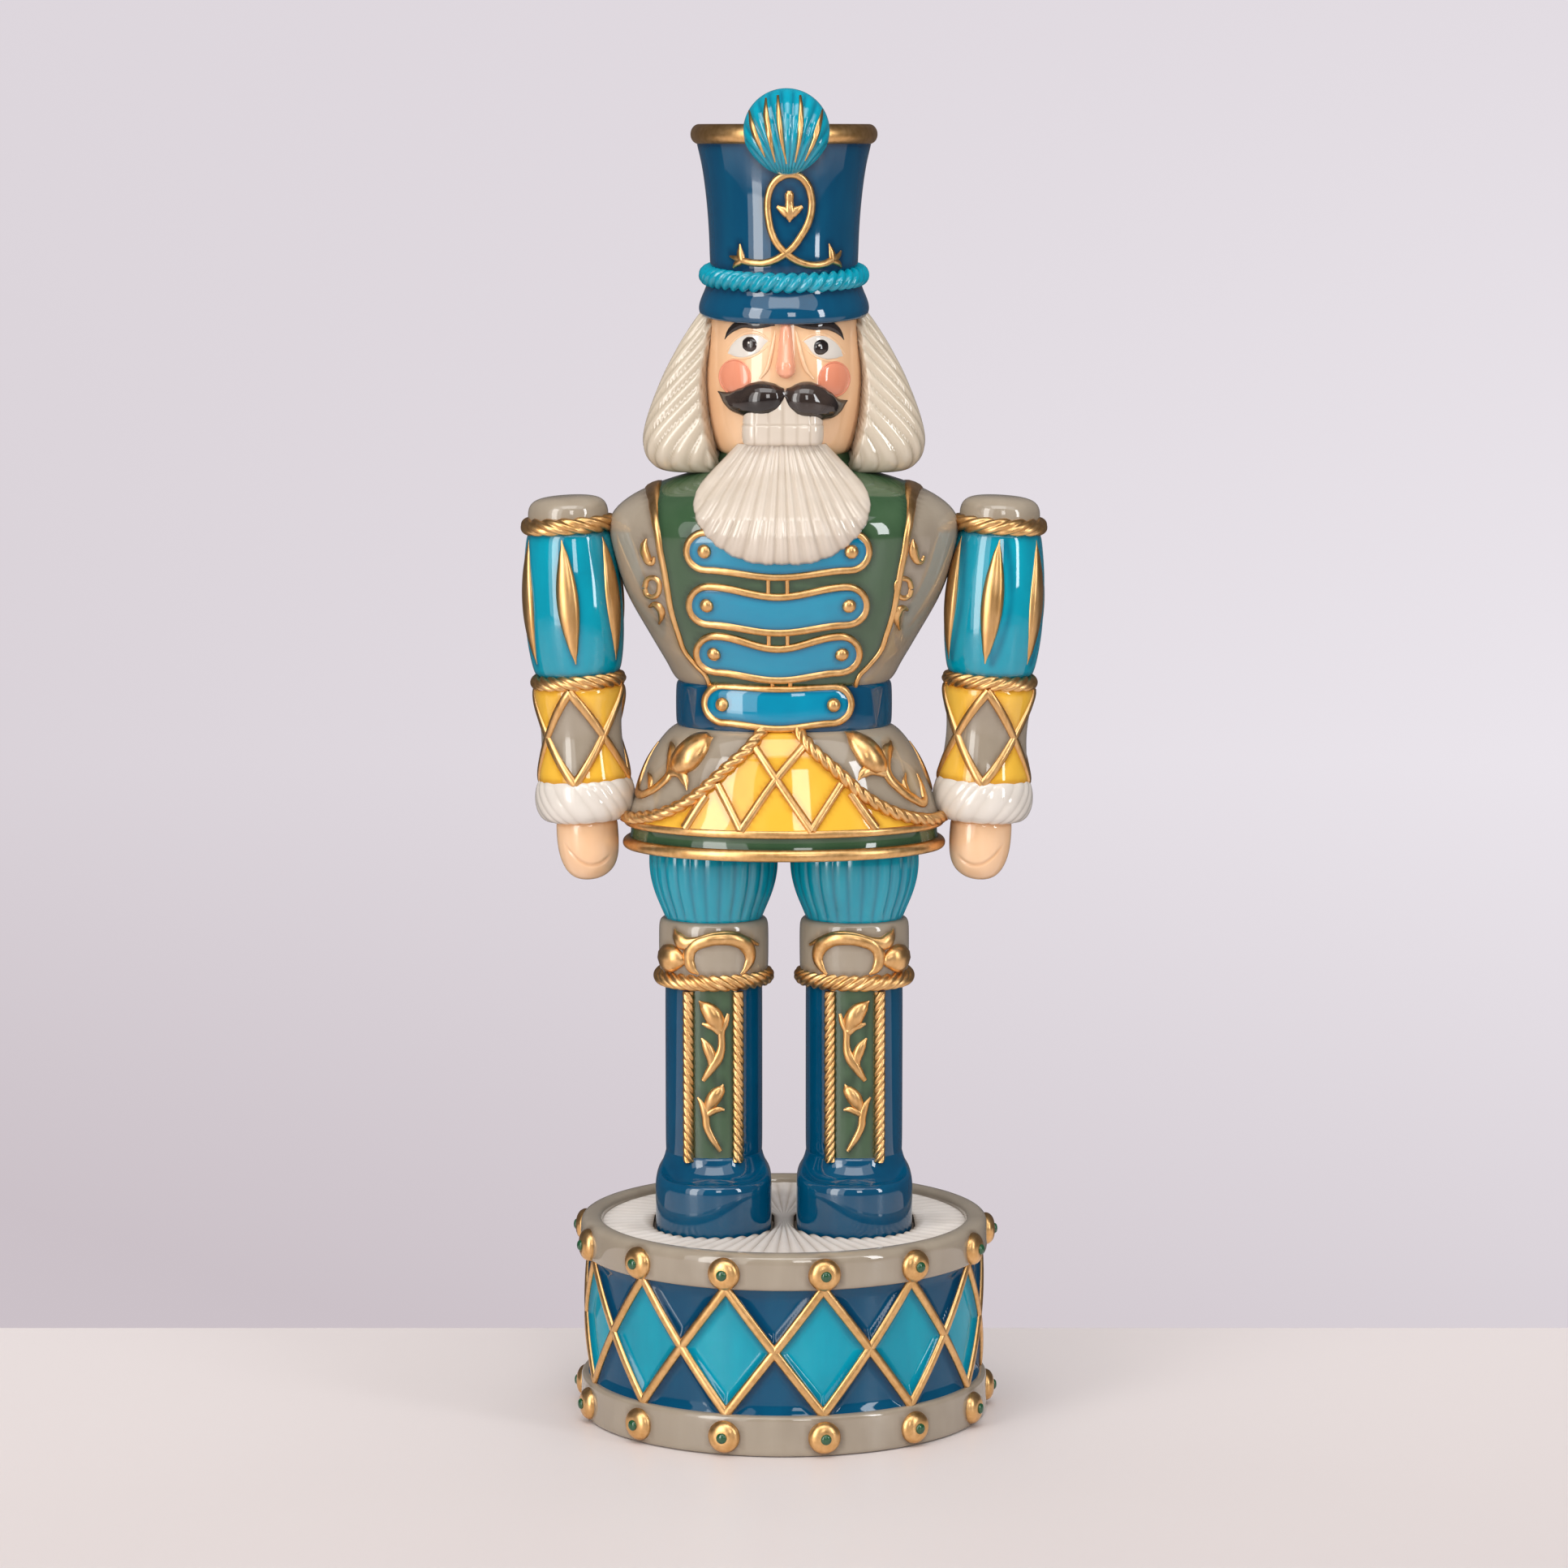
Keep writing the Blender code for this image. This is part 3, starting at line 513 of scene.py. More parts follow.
tones = {
    "navy": {"body": (0.000, 0.062, 0.140), "thin": (0.002, 0.110, 0.215), "pooledAndShaded": (0.000, 0.020, 0.060)},
    "teal": {"body": (0.000, 0.285, 0.400), "thin": (0.000, 0.390, 0.510), "pooledAndShaded": (0.000, 0.110, 0.190),
             "streaks": 0.8},
    "sky": {"body": (0.000, 0.250, 0.420), "thin": (0.000, 0.330, 0.500), "pooledAndShaded": (0.000, 0.090, 0.200),
            "streaks": 0.8},
    "green": {"body": (0.040, 0.092, 0.040), "thin": (0.085, 0.150, 0.078), "pooledAndShaded": (0.010, 0.030, 0.012)},
    "taupe": {"body": (0.335, 0.280, 0.212), "thin": (0.450, 0.385, 0.300), "pooledAndShaded": (0.150, 0.105, 0.065)},
    "yellow": {"body": (0.880, 0.495, 0.045), "thin": (0.910, 0.580, 0.105), "pooledAndShaded": (0.560, 0.240, 0.012)},
    "ivory": {"body": (0.660, 0.570, 0.478), "thin": (0.740, 0.660, 0.572), "pooledAndShaded": (0.380, 0.290, 0.200)},
    "fur": {"body": (0.740, 0.680, 0.610), "thin": (0.800, 0.750, 0.690), "pooledAndShaded": (0.420, 0.350, 0.270)},
    "hair": {"body": (0.630, 0.540, 0.420), "thin": (0.730, 0.650, 0.540), "pooledAndShaded": (0.330, 0.255, 0.165)},
    "flesh": {"body": (0.900, 0.570, 0.330), "thin": (0.920, 0.670, 0.460), "pooledAndShaded": (0.680, 0.310, 0.120)},
    "rose": {"body": (0.800, 0.280, 0.160), "thin": (0.880, 0.440, 0.300), "pooledAndShaded": (0.600, 0.150, 0.070)},
    "nose": {"body": (0.880, 0.380, 0.230), "thin": (0.920, 0.480, 0.330), "pooledAndShaded": (0.680, 0.220, 0.110)},
    "black": {"body": (0.012, 0.008, 0.007), "thin": (0.085, 0.058, 0.046), "pooledAndShaded": (0.004, 0.003, 0.003),
              "streaks": 0.8},
    "gem": {"body": (0.012, 0.080, 0.030), "thin": (0.030, 0.130, 0.060), "pooledAndShaded": (0.004, 0.030, 0.010)},
    "head": {"body": (0.700, 0.640, 0.590), "thin": (0.780, 0.730, 0.690), "pooledAndShaded": (0.300, 0.240, 0.190)},
    "gold": {"body": (0.920, 0.580, 0.265), "deep": (0.680, 0.375, 0.130), "pooledAndShaded": (0.290, 0.140, 0.040)},
}
navyGlaze = glaze("navyGlaze", tones["navy"])
tealGlaze = glaze("tealGlaze", tones["teal"])
skyGlaze = glaze("skyGlaze", tones["sky"], brushing=(0.22, 1, 1))
greenGlaze = glaze("greenGlaze", tones["green"])
taupeGlaze = glaze("taupeGlaze", tones["taupe"])
ivoryGlaze, furGlaze, hairGlaze, fleshGlaze, roseGlaze, noseGlaze = [
    glaze(name + "Glaze", tones[name], ripple=0.22)
    for name in ("ivory", "fur", "hair", "flesh", "rose", "nose")]
blackGlaze = glaze("blackGlaze", tones["black"], brushing=(0.3, 1, 1), ripple=0.6)
gemGlaze = glaze("gemGlaze", tones["gem"])
headGlaze = glaze("headGlaze", tones["head"], ripple=0.22, coat=0.2)
drumGlaze = glaze("drumGlaze", tones["navy"], tones["teal"], "net", coat=0.5)
bootGlaze = glaze("bootGlaze", tones["navy"], tones["green"], "panel", edge=0.3)
coatGlaze = glaze("coatGlaze", tones["taupe"], tones["green"], "vest", edge=0.5)
skirtGlaze = glaze("skirtGlaze", tones["taupe"], tones["yellow"], "panel", edge=0.5)
forearmGlaze = glaze("forearmGlaze", tones["yellow"], tones["taupe"], "net")
goldLustre = lustre("goldLustre", tones["gold"])
goldRound = lustre("goldRound", tones["gold"], (1, 1, 1))


def coatIn(piece, material):
    piece.data.materials.clear()
    piece.data.materials.append(material)


def hand(piece, material, *nodes):
    # coats a finished piece and gives it to the frame
    coatIn(piece, material)
    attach(piece, "root")
    if nodes:
        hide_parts(*nodes)


print("glazes mixed")


# ---- drum

drumShape = {
    "girth": 76.2,          # the shell's radius
    "body": [(72, 3), (76.2, 3)] + [(76.2, 8 + 3.2 * i) for i in range(20)] + [(72, 70)],
    "topHoop": [(75, 63.1), (77.8, 63.2), (78.7, 64.2), (78.8, 67), (78.8, 73.6), (78.2, 75.9), (76.2, 77.0),
                (72.8, 77.1), (70.9, 76.4), (70.2, 74.9), (70.1, 71)],
    "lowHoop": [(72, 0), (77.6, 0), (78.6, 0.7), (78.8, 2.4), (78.8, 12.8), (78.6, 14.6), (77.8, 15.5),
                (75, 15.6)],
    "bays": 13,
    "firstStud": 11.1,      # degrees to the right of the front
    "lattice": (15.6, 40.0, 63.4),
    "barHalf": 1.9,
    "studHeights": (69.4, 7.4),
    "studRadius": 78.8,
    "flutes": 72,
}
footShape = {"half": 22.3, "front": -36.0, "back": 22.3, "x": 27.0}
wellShape = {"half": 23.4, "front": -14, "levels": (72.2, 78)}      # the pocket in the drumhead for each foot


def bayShare(x, y):
    # how far round its bay a point lies, from one stud to the next
    angle = math.degrees(math.atan2(x, -y)) - drumShape["firstStud"]
    return angle / (360 / drumShape["bays"]) % 1


def studShare(x, y):
    # distance from the nearest stud as a share of a bay
    return min(bayShare(x, y), 1 - bayShare(x, y))


def footDistance(x, y):
    # how far outside a foot's outline a point of the drumhead lies
    x = abs(x) - footShape["x"]
    middle = min(max(y, footShape["front"] + footShape["half"]), footShape["back"] - footShape["half"])
    return math.hypot(x, y - middle) - footShape["half"]


drumBody = throwOnWheel("drumBody", drumShape["body"], sides=130)
low, mid, high = drumShape["lattice"]
paintField(drumBody, "net", lambda x, y, z: 1 - studShare(x, y) / 0.5 - abs(z - mid) / (mid - low + 1))
girth = drumShape["girth"]
bayArc = math.tau * girth / drumShape["bays"]
firstArc = math.radians(drumShape["firstStud"]) * girth
bars = []
for i in range(drumShape["bays"]):
    left, right = firstArc + i * bayArc, firstArc + (i + 1) * bayArc
    for start, end in ((low, high), (high, low)):
        bars.append([(left + (right - left) * t, start + (end - start) * t, drumShape["barHalf"])
                     for t in (0.0, 0.25, 0.5, 0.75, 1.0)])
drumLattice = modelStrokes("drumLattice", bars, drumBody, rise=0.62, wrap=girth)


def barDistance(x, y, z):
    # distance to the nearest bar of the lattice
    share = bayShare(x, y)
    rise = (z - low) / (high - low)
    slope = math.cos(math.atan2(high - low, bayArc))
    nearest = min(abs(share - rise), abs(share + rise - 1), abs(share - rise - 1), abs(share - rise + 1))
    return nearest * (high - low) * slope


press(drumBody, lambda x, y, z: -1.7 * fade(barDistance(x, y, z), 1.2, 4.4)
      * fade(z, 14, 19) * fade(-z, -64, -59))
topHoop = throwOnWheel("topHoop", drumShape["topHoop"], sides=52, hoop=True)
lowHoop = throwOnWheel("lowHoop", drumShape["lowHoop"], sides=52)
poolAndShadeBeside(drumBody, [drumLattice], 2.0, 0.75)

studOutline = [
    (6.1, -2.0), (6.35, -0.4), (6.2, 0.6), (5.5, 1.7), (4.4, 2.5), (3.1, 2.95), (2.2, 3.0), (0.1, 3.0),
]
gemOutline = [(1.6, 1.2), (2.1, 2.9), (2.2, 3.3), (1.7, 3.9), (0.9, 4.2), (0.1, 4.25)]
studSpots = []
for height in drumShape["studHeights"]:
    for i in range(drumShape["bays"]):
        angle = math.radians(drumShape["firstStud"] + i * 360 / drumShape["bays"])
        outwards = Matrix.Rotation(angle, 4, "Z") @ Matrix.Rotation(math.radians(90), 4, "X")
        spot = Vector((math.sin(angle), -math.cos(angle), 0)) * drumShape["studRadius"] * mm
        spot += Vector((0, 0, height * mm))
        studSpots.append(Matrix.Translation(spot) @ outwards)
studs = copiesOf(throwOnWheel("stud", studOutline, sides=16, smoothing=1), "studs", studSpots)
gems = copiesOf(throwOnWheel("gem", gemOutline, sides=10, smoothing=1), "gems", studSpots)
poolAndShadeBeside(topHoop, [studs], 1.4, 0.7)
poolAndShadeBeside(lowHoop, [studs], 1.4, 0.7)

drumHead = throwOnWheel("drumHead", [
    (70.6, 69.5), (70.6, 73.8), (69.8, 74.6), (62, 74.8), (48, 74.8), (34, 74.8), (20, 74.8), (8, 74.8),
    (0.1, 74.8),
], sides=144)


def fluteRidge(x, y):
    return abs(math.cos(drumShape["flutes"] / 2 * math.atan2(x, -y)))


def fluteRise(x, y, z):
    out = math.hypot(x, y)
    return (fluteRidge(x, y) ** 0.8 * 1.1 - 0.8 if z > 74 else 0) * fade(out, 4, 30) * (1 - fade(out, 66, 70))


def wellPlace(ring, angle):
    half = wellShape["half"]
    front = wellShape["front"] if math.cos(angle) > 0 else 0
    return half * math.sin(angle), front - half * math.cos(angle), wellShape["levels"][ring]


def headPoolAndShade(x, y, z):
    # darkens round the feet and in the flutes: painted shadow in the gaps round the feet, and painted shade
    # in the flutes where glaze also gathers
    beside = math.exp(-(max(footDistance(x, y) - 1.0, 0) / 1.3) ** 2)
    return max(beside, 0.35 * (1 - fluteRidge(x, y)) ** 2)


press(drumHead, fluteRise)
well = stackRings("well", 2, 48, wellPlace, 0)
for side in (-1, 1):
    pickUp(drumHead)
    cutter = well.copy()
    cutter.data = well.data.copy()
    cutter.data.transform(Matrix.Translation((side * footShape["x"] * mm, 0, 0)))
    bpy.context.collection.objects.link(cutter)
    bpy.ops.object.modifier_add(type="BOOLEAN")
    drumHead.modifiers[-1].object = cutter
    drumHead.modifiers[-1].operation = "DIFFERENCE"
    applyAll(drumHead)
    bpy.data.objects.remove(cutter)
bpy.data.objects.remove(well)
pickUp(drumHead)
bpy.ops.object.shade_smooth_by_angle(angle=math.radians(50))
paintField(drumHead, "poolAndShade", headPoolAndShade)

hand(drumBody, drumGlaze, "drum_shell")
hand(drumLattice, goldRound, "drum_lattice")
hand(topHoop, taupeGlaze, "drum_top_hoop")
hand(lowHoop, taupeGlaze, "drum_bottom_hoop")
hand(studs, goldRound)
hand(gems, gemGlaze)
hand(drumHead, headGlaze, "drum_head")
print("drum done")


# ---- legs, the left one first and then its mirror image

legX = -footShape["x"]
legMiddle = (legX, 0)
bootRadius = 18.7
cuffRadius = 21.0
braidX = 9.6        # each braid's distance from the middle of the boot
footLevels = [     # height and half width at the sides, height and reach at the toe
    (72.4, 21.6, 72.4, -35.4), (73.4, 22.3, 73.4, -36.0), (80, 22.3, 80, -36.0), (88, 22.4, 88, -36.2),
    (91.8, 22.4, 91.4, -36.2), (94.2, 22.0, 93.6, -35.6), (95.8, 21.3, 94.4, -34.0),
    (96.6, 20.8, 93.6, -31.8), (97.4, 20.3, 92.8, -29.2), (98.3, 19.8, 93.0, -26.0),
    (99.3, 19.4, 94.6, -23.2), (100.4, 19.0, 97.6, -20.8), (101.6, 18.7, 101, -19.2), (103, 18.2, 103, -18.2)]
cuffOutline = [(19.0, 169), (20.6, 170), (21.0, 173), (21.1, 180), (21.1, 188), (20.9, 191), (20.0, 192.5),
               (18.0, 192.8), (17.0, 192.9)]
breechesOutline = [
    (16.8, 191.2), (18.2, 191.9), (19.0, 193.6), (20.2, 196.5), (22.6, 202), (24.3, 208), (24.9, 213.5),
    (24.7, 219), (23.6, 225),
]
scrollRuns = [
    [(-5.6, 173.4, 0.3), (-8.3, 175.6, 1.3), (-9.6, 179.7, 1.6), (-8.4, 183.4, 1.7), (-3.0, 186.2, 1.6),
     (3.5, 187.2, 1.7), (9.6, 186.3, 1.9), (14.2, 183.0, 2.0), (15.4, 179.2, 1.7), (13.8, 175.6, 1.1),
     (11.2, 173.0, 0.3)],
    [(-16.4, 190.0, 0.3), (-14.8, 187.4, 1.6), (-11.6, 185.2, 1.9), (-7.1, 186.0, 1.2), (0.2, 188.6, 0.8),
     (6.8, 188.8, 0.9), (13.4, 186.4, 0.9), (20.0, 183.6, 0.4)],
]
bulbRun = [
    [(-25.4, 178.0, 1.4), (-23.6, 178.4, 4.0), (-19.4, 178.6, 5.6), (-15.2, 178.6, 4.8),
     (-12.0, 178.2, 2.4), (-10.6, 178.0, 0.8)],
]
sprigRuns = [
    [(-5.6, 162.8, 0.2), (-3.6, 161.0, 1.7), (-0.8, 158.2, 2.8), (1.2, 155.0, 2.6), (2.4, 151.6, 1.3)],
    [(5.9, 157.8, 0.5), (4.8, 154.6, 1.0), (3.2, 151.0, 1.1), (3.2, 147.0, 1.1), (2.9, 143.6, 1.3),
     (1.6, 140.4, 1.6), (-0.4, 137.4, 1.5), (-2.4, 134.4, 1.1), (-4.0, 132.0, 0.7)],
    [(-4.2, 154.0, 0.4), (-2.2, 153.4, 0.9), (0.6, 152.6, 1.3), (2.6, 150.8, 1.3)],
    [(-4.6, 148.4, 0.3), (-3.2, 146.4, 1.2), (-1.6, 143.4, 1.7), (-0.6, 140.2, 1.5), (-0.6, 137.8, 1.2)],
    [(3.8, 130.6, 0.2), (2.9, 128.8, 1.5), (0.6, 126.0, 2.3), (-1.2, 123.0, 1.9), (-2.2, 120.6, 1.0)],
    [(-6.2, 125.4, 0.3), (-4.8, 123.4, 0.8), (-3.6, 120.8, 1.2), (-2.9, 117.6, 1.2), (-2.6, 114.4, 1.2),
     (-1.2, 111.0, 1.1), (0.6, 107.8, 1.0), (2.6, 104.6, 0.7)],
    [(4.2, 120.6, 0.4), (2.4, 120.9, 0.9), (-0.4, 120.0, 1.1), (-2.6, 118.6, 1.0)],
]


def footPlace(ring, angle):
    sideHeight, half, toeHeight, toe = footLevels[ring]
    ahead = math.cos(angle)
    y = toe + half if ahead > 0 else 0.0
    height = sideHeight + (toeHeight - sideHeight) * fade(ahead, 0.0, 0.75)
    return legX + half * math.sin(angle), y - half * ahead, height


bootFoot = stackRings("bootFootLeft", len(footLevels), 40, footPlace)
bootShaft = throwOnWheel("bootShaftLeft", [
    (17, 98), (18.6, 99), (18.7, 108), (18.7, 125), (18.7, 145), (18.7, 163), (18.6, 171), (17, 172),
], sides=48, middle=legMiddle)
paintField(bootShaft, "panel", lambda x, y, z:
           min(braidX - 0.4 - abs(x - legX), z - 100.4) if y < 0 else -3.0)
bootBraids = joinUp("bootBraidsLeft", [
    cordOn("braid", [(braidX * side, z) for z in (100.4, 120, 140, 168)], bootShaft, 2.2, 12.6,
           wrap=bootRadius, middle=legMiddle, hand=-1, strands=4, depth=0.3) for side in (-1, 1)])
bootSprigs = modelStrokes(
    "bootSprigsLeft", fuller(sprigRuns, 1.25), bootShaft, rise=0.7, wrap=bootRadius, middle=legMiddle,
    facets=5
)
kneeRope = twistCord("kneeRopeLeft", ringPath(19.9, 170.0, legMiddle), 3.4, 19.5, closed=True, strands=5,
                     depth=0.3)
kneeCuff = throwOnWheel("kneeCuffLeft", cuffOutline, sides=40, middle=legMiddle)
kneeScroll = modelStrokes(
    "kneeScrollLeft", fuller(scrollRuns, 1.5) + bulbRun, kneeCuff, rise=0.7, wrap=cuffRadius,
    middle=legMiddle
)
breeches = throwOnWheel("breechesLeft", breechesOutline, sides=72, middle=legMiddle)


def breechRib(x, y):
    return abs(math.cos(13 * math.atan2(x - legX, -y)))


press(breeches, lambda x, y, z: (breechRib(x, y) ** 0.55 - 1) * 0.85 * fade(z, 191.5, 197))
# painted shade in the grooves between the ribs, where glaze also gathers
paintField(breeches, "poolAndShade", lambda x, y, z: (1 - breechRib(x, y)) ** 2.2 * 0.6)
poolAndShadeBeside(bootShaft, [bootBraids, bootSprigs], 1.2, 0.8)
poolAndShadeBeside(kneeCuff, [kneeScroll, kneeRope, breeches], 1.2, 0.75)
legPieces = [
    (bootFoot, navyGlaze, "boot_foot_left"),
    (bootShaft, bootGlaze, "boot_shaft_left", "boot_panel_left"),
    (bootBraids, goldLustre, "boot_braid_left_inner", "boot_braid_left_outer"),
    (bootSprigs, goldLustre),
    (kneeRope, goldRound, "knee_rope_left"),
    (kneeCuff, taupeGlaze, "knee_cuff_left"),
    (kneeScroll, goldRound),
    (breeches, tealGlaze, "breeches_left"),
]


def handBothSides(pieces, turns=None):
    # turns gives the pieces whose twin is turned a little about its own axis
    for piece, material, *nodes in pieces:
        twin = otherSide(piece, piece.name.replace("Left", "Right"))
        if turns and piece.name in turns:
            twin.data.transform(turns[piece.name])
        hand(piece, material, *nodes)
        hand(twin, material, *[node.replace("left", "right") for node in nodes])


handBothSides(legPieces)
print("legs done")


# ---- coat, belt and skirt

bodyDepth = 0.72        # front to back as a share of side to side
coatWrap = 50.0         # flat drawings wrap round the coat at this radius
halfTurn = coatWrap * math.pi
coatOutline = [
    (30, 280), (41.2, 283.4), (43.8, 289.5), (47.6, 295.7), (52.4, 304), (57.2, 312), (61.2, 320),
    (63.8, 328), (65.8, 336), (67.2, 343), (65.4, 349.0), (58.0, 355.2), (46.0, 360.4), (34.0, 363.8),
    (27.2, 366.2), (26.0, 369), (25.4, 372.6), (20, 374),
]
vestMiddle = -0.6
vestEdge = [(284, 26), (296.5, 36.6), (310, 41.4), (328, 44.4), (346, 47.6), (358, 49.4)]
straps = [      # half width, then the upper and the lower edge, each at the ends and in the middle
    {"name": "chestStrapTop", "node": "chest_strap_top", "half": 33.8, "up": (343.6, 341.6),
     "down": (329.6, 327.2)},
    {"name": "chestStrapMiddle", "node": "chest_strap_middle", "half": 33.0, "up": (323.2, 319.6),
     "down": (308.6, 305.8)},
    {"name": "chestStrapLow", "node": "chest_strap_low", "half": 30.4, "up": (304.0, 299.4),
     "down": (289.8, 287.2)},
    {"name": "beltPlate", "node": "belt_plate", "half": 27.4, "up": (284.2, 283.6), "down": (270.4, 268.6)},
]
strapMiddle = -2.3


def coatFront(x, z):
    # how far the coat stands forward at x and z
    radius = along([(height, radius) for radius, height in coatOutline], z)
    return bodyDepth * math.sqrt(max(radius ** 2 - x ** 2, 0.0))


coatBody = throwOnWheel("coatBody", coatOutline, sides=64, depth=bodyDepth)
paintField(coatBody, "vest", lambda x, y, z: along(vestEdge, z) - abs(x - vestMiddle))
pipings = []
for side in (-1, 1):
    front = []
    for z in (282, 287, 292, 297, 304, 312, 322, 334, 346, 353, 357):
        x = vestMiddle + side * along(vestEdge, z)
        front.append((math.atan2(x, coatFront(x, z)) * coatWrap, z, 1.3))
    rear = [(side * halfTurn - x, z, width) for x, z, width in reversed(front)]
    pipings.append(front + [(side * halfTurn / 2, 358.6, 1.3)] + rear)
vestPiping = modelStrokes("vestPiping", pipings, coatBody, rise=0.75, wrap=coatWrap)

belt = throwOnWheel("belt", [
    (38, 266), (40.9, 266.6), (41.3, 269), (41.4, 275), (41.3, 281.6), (40.9, 284.2), (38, 284.8),
], sides=48, depth=bodyDepth)


def strapEdge(strap, x, upper):
    ends, middle = strap["up"] if upper else strap["down"]
    tall = (strap["up"][0] - strap["down"][0]) / 2
    run = strap["half"] - tall
    dip = math.cos(min(abs(x) / run, 1.0) * math.pi / 2) ** 2
    centre = (strap["up"][0] + strap["down"][0]) / 2
    reach = ends + (middle - ends) * dip - centre
    beyond = max(abs(x) - run, 0.0)
    return centre + reach * math.sqrt(max(1 - (beyond / tall) ** 2, 0.0))


def strapField(strap, onto):
    letGo()
    bpy.ops.mesh.primitive_grid_add(x_subdivisions=56, y_subdivisions=10, size=2.0, location=(0, 0, 0))
    piece = justMade(strap["name"])
    for vertex in piece.data.vertices:
        u, v, _ = vertex.co
        x = strap["half"] * math.sin(u * math.pi / 2) * 0.985
        low, high = strapEdge(strap, x, False), strapEdge(strap, x, True)
        z = (low + high) / 2 + v * (high - low) / 2
        vertex.co = Vector((strapMiddle + x, -0.75 * (1 - v ** 6), z)) * mm
    layOn(piece, onto)
    thicken(piece, 2.2)
    return piece


def strapBorder(strap, onto):
    xs = [strap["half"] * math.sin(i / 14 * math.pi / 2) for i in range(-14, 15)]
    run = [(strapMiddle + x, strapEdge(strap, x, True), 1.45) for x in xs]
    run += [(strapMiddle + x, strapEdge(strap, x, False), 1.45) for x in reversed(xs[1:-1])]
    return modelStrokes(strap["name"] + "Border", [run], onto, rise=1.0, closed=True)


buttonOutline = [(2.7, -1.6), (2.85, 0.2), (2.3, 1.3), (1.2, 1.95), (0.1, 2.1)]
strapPieces = []
for strap in straps:
    onto = belt if strap["node"] == "belt_plate" else coatBody
    fieldPiece = strapField(strap, onto)
    border = strapBorder(strap, onto)
    find = surfaceFinder(fieldPiece)
    spots = []
    inset = strap["half"] - 6.4
    height = (strapEdge(strap, inset, True) + strapEdge(strap, inset, False)) / 2
    for side in (-1, 1):
        spot, normal = find(*sightLine((strapMiddle + side * inset, height)))
        spots.append(Matrix.Translation(spot) @ normal.to_track_quat("Z", "Y").to_matrix().to_4x4())
    button = throwOnWheel("button", buttonOutline, sides=14, smoothing=1)
    buttons = copiesOf(button, strap["name"] + "Buttons", spots)
    poolAndShadeBeside(fieldPiece, [border, buttons], 1.1, 0.8)
    strapPieces.append((fieldPiece, border, buttons, strap["node"]))
linkRuns = []
for x, top, bottom in ((-5.9, 328, 319), (1.2, 328, 319), (-5.7, 306.4, 299), (1.3, 306.4, 299),
                       (-4.4, 288, 283), (2.4, 288, 283)):
    linkRuns.append([(x, top, 0.85), (x, (top + bottom) / 2, 0.8), (x, bottom, 0.85)])
strapLinks = modelStrokes("strapLinks", linkRuns, coatBody, rise=0.9)
chestRing = [(-52.4, 321.6, 0.75), (-50.9, 325.0, 0.75), (-47.8, 325.0, 0.75), (-46.8, 321.4, 0.75),
             (-48.6, 318.2, 0.75), (-51.4, 318.4, 0.75), (-52.4, 321.0, 0.75)]
chestMarks = modelStrokes("chestMarks", fuller([
    [(-51.6, 340.4, 0.3), (-52.4, 337.4, 1.1), (-51.6, 333.8, 1.3), (-49.8, 331.2, 0.9), (-48.6, 333.6, 0.4)],
    chestRing,
    [(-50.8, 313.8, 0.4), (-48.6, 315.0, 0.9), (-46.4, 313.2, 1.1), (-46.2, 310.0, 0.8), (-47.2, 307.2, 0.3)],
    [(48.2, 340.4, 0.3), (48.4, 337.2, 1.2), (49.0, 333.6, 1.2), (51.2, 331.4, 0.8), (52.6, 333.6, 0.4)],
    [(-4.6 - x, z, width) for x, z, width in chestRing],
    [(46.6, 313.0, 0.4), (44.6, 314.0, 0.9), (42.4, 311.8, 1.3), (42.6, 308.4, 0.9), (43.6, 305.2, 0.3)],
], 1.35), coatBody, rise=0.8)
poolAndShadeBeside(coatBody, [vestPiping, strapLinks, chestMarks] + [part[1] for part in strapPieces], 1.5, 0.8)
poolAndShadeBeside(belt, [strapPieces[-1][1]], 1.5, 0.8)

skirtOutline = [
    (50, 228.6), (60.0, 229.0), (61.0, 230.6), (60.2, 233.5), (57.4, 239.5), (54.8, 245.8), (52.6, 252.0),
    (49.8, 258.0), (45.6, 263.6), (42.4, 266.6), (38, 268.4),
]
ropeReach = [
    (232.4, 61.0), (232.7, 55.0), (235.2, 46.0), (239.6, 37.0), (244.6, 30.0), (250, 24.2), (255.5, 18.2),
    (261, 12.0), (267.4, 6.0),
]
skirtMiddle = -1.4
skirt = throwOnWheel("skirt", skirtOutline, sides=72, depth=bodyDepth)
paintField(skirt, "panel", lambda x, y, z: along(ropeReach, z) - abs(x - skirtMiddle) if y < 0 else -3.0)
ropeLine = [(skirtMiddle - reach, z) for z, reach in reversed(ropeReach)][:-1]
rays = [sightLine(point) for point in ropeLine]
rays += [sightLine((math.radians(-70 - i * 220 / 36) * coatWrap, 232.3), coatWrap) for i in range(1, 36)]
rays += [sightLine((2 * skirtMiddle - x, z)) for x, z in reversed(ropeLine)]
find = surfaceFinder(skirt)
path = []
for ray in rays:      # down the left front edge, round the back and up the right front edge
    spot, normal = find(*ray)
    path.append(spot / mm + normal * 0.9)
skirtRope = twistCord("skirtRope", path, 2.5, 14.5, strands=3, depth=0.3)
latticeRuns = []
for run in ([(-11.0, 262.0), (-3.0, 250.5), (10.4, 231.6)], [(7.4, 262.4), (-3.0, 250.5), (-16.4, 231.6)],
            [(10.4, 232.0), (15.4, 239.4), (21.4, 248.2)], [(-16.4, 232.0), (-20.4, 239.6), (-25.0, 248.0)],
            [(-29.4, 243.8), (-33.4, 238.0), (-37.4, 231.6)], [(25.2, 245.0), (29.6, 238.6), (34.6, 231.8)]):
    latticeRuns.append([(x, z, 1.7) for x, z in run])
skirtLattice = modelStrokes("skirtLattice", latticeRuns, skirt, rise=0.8)
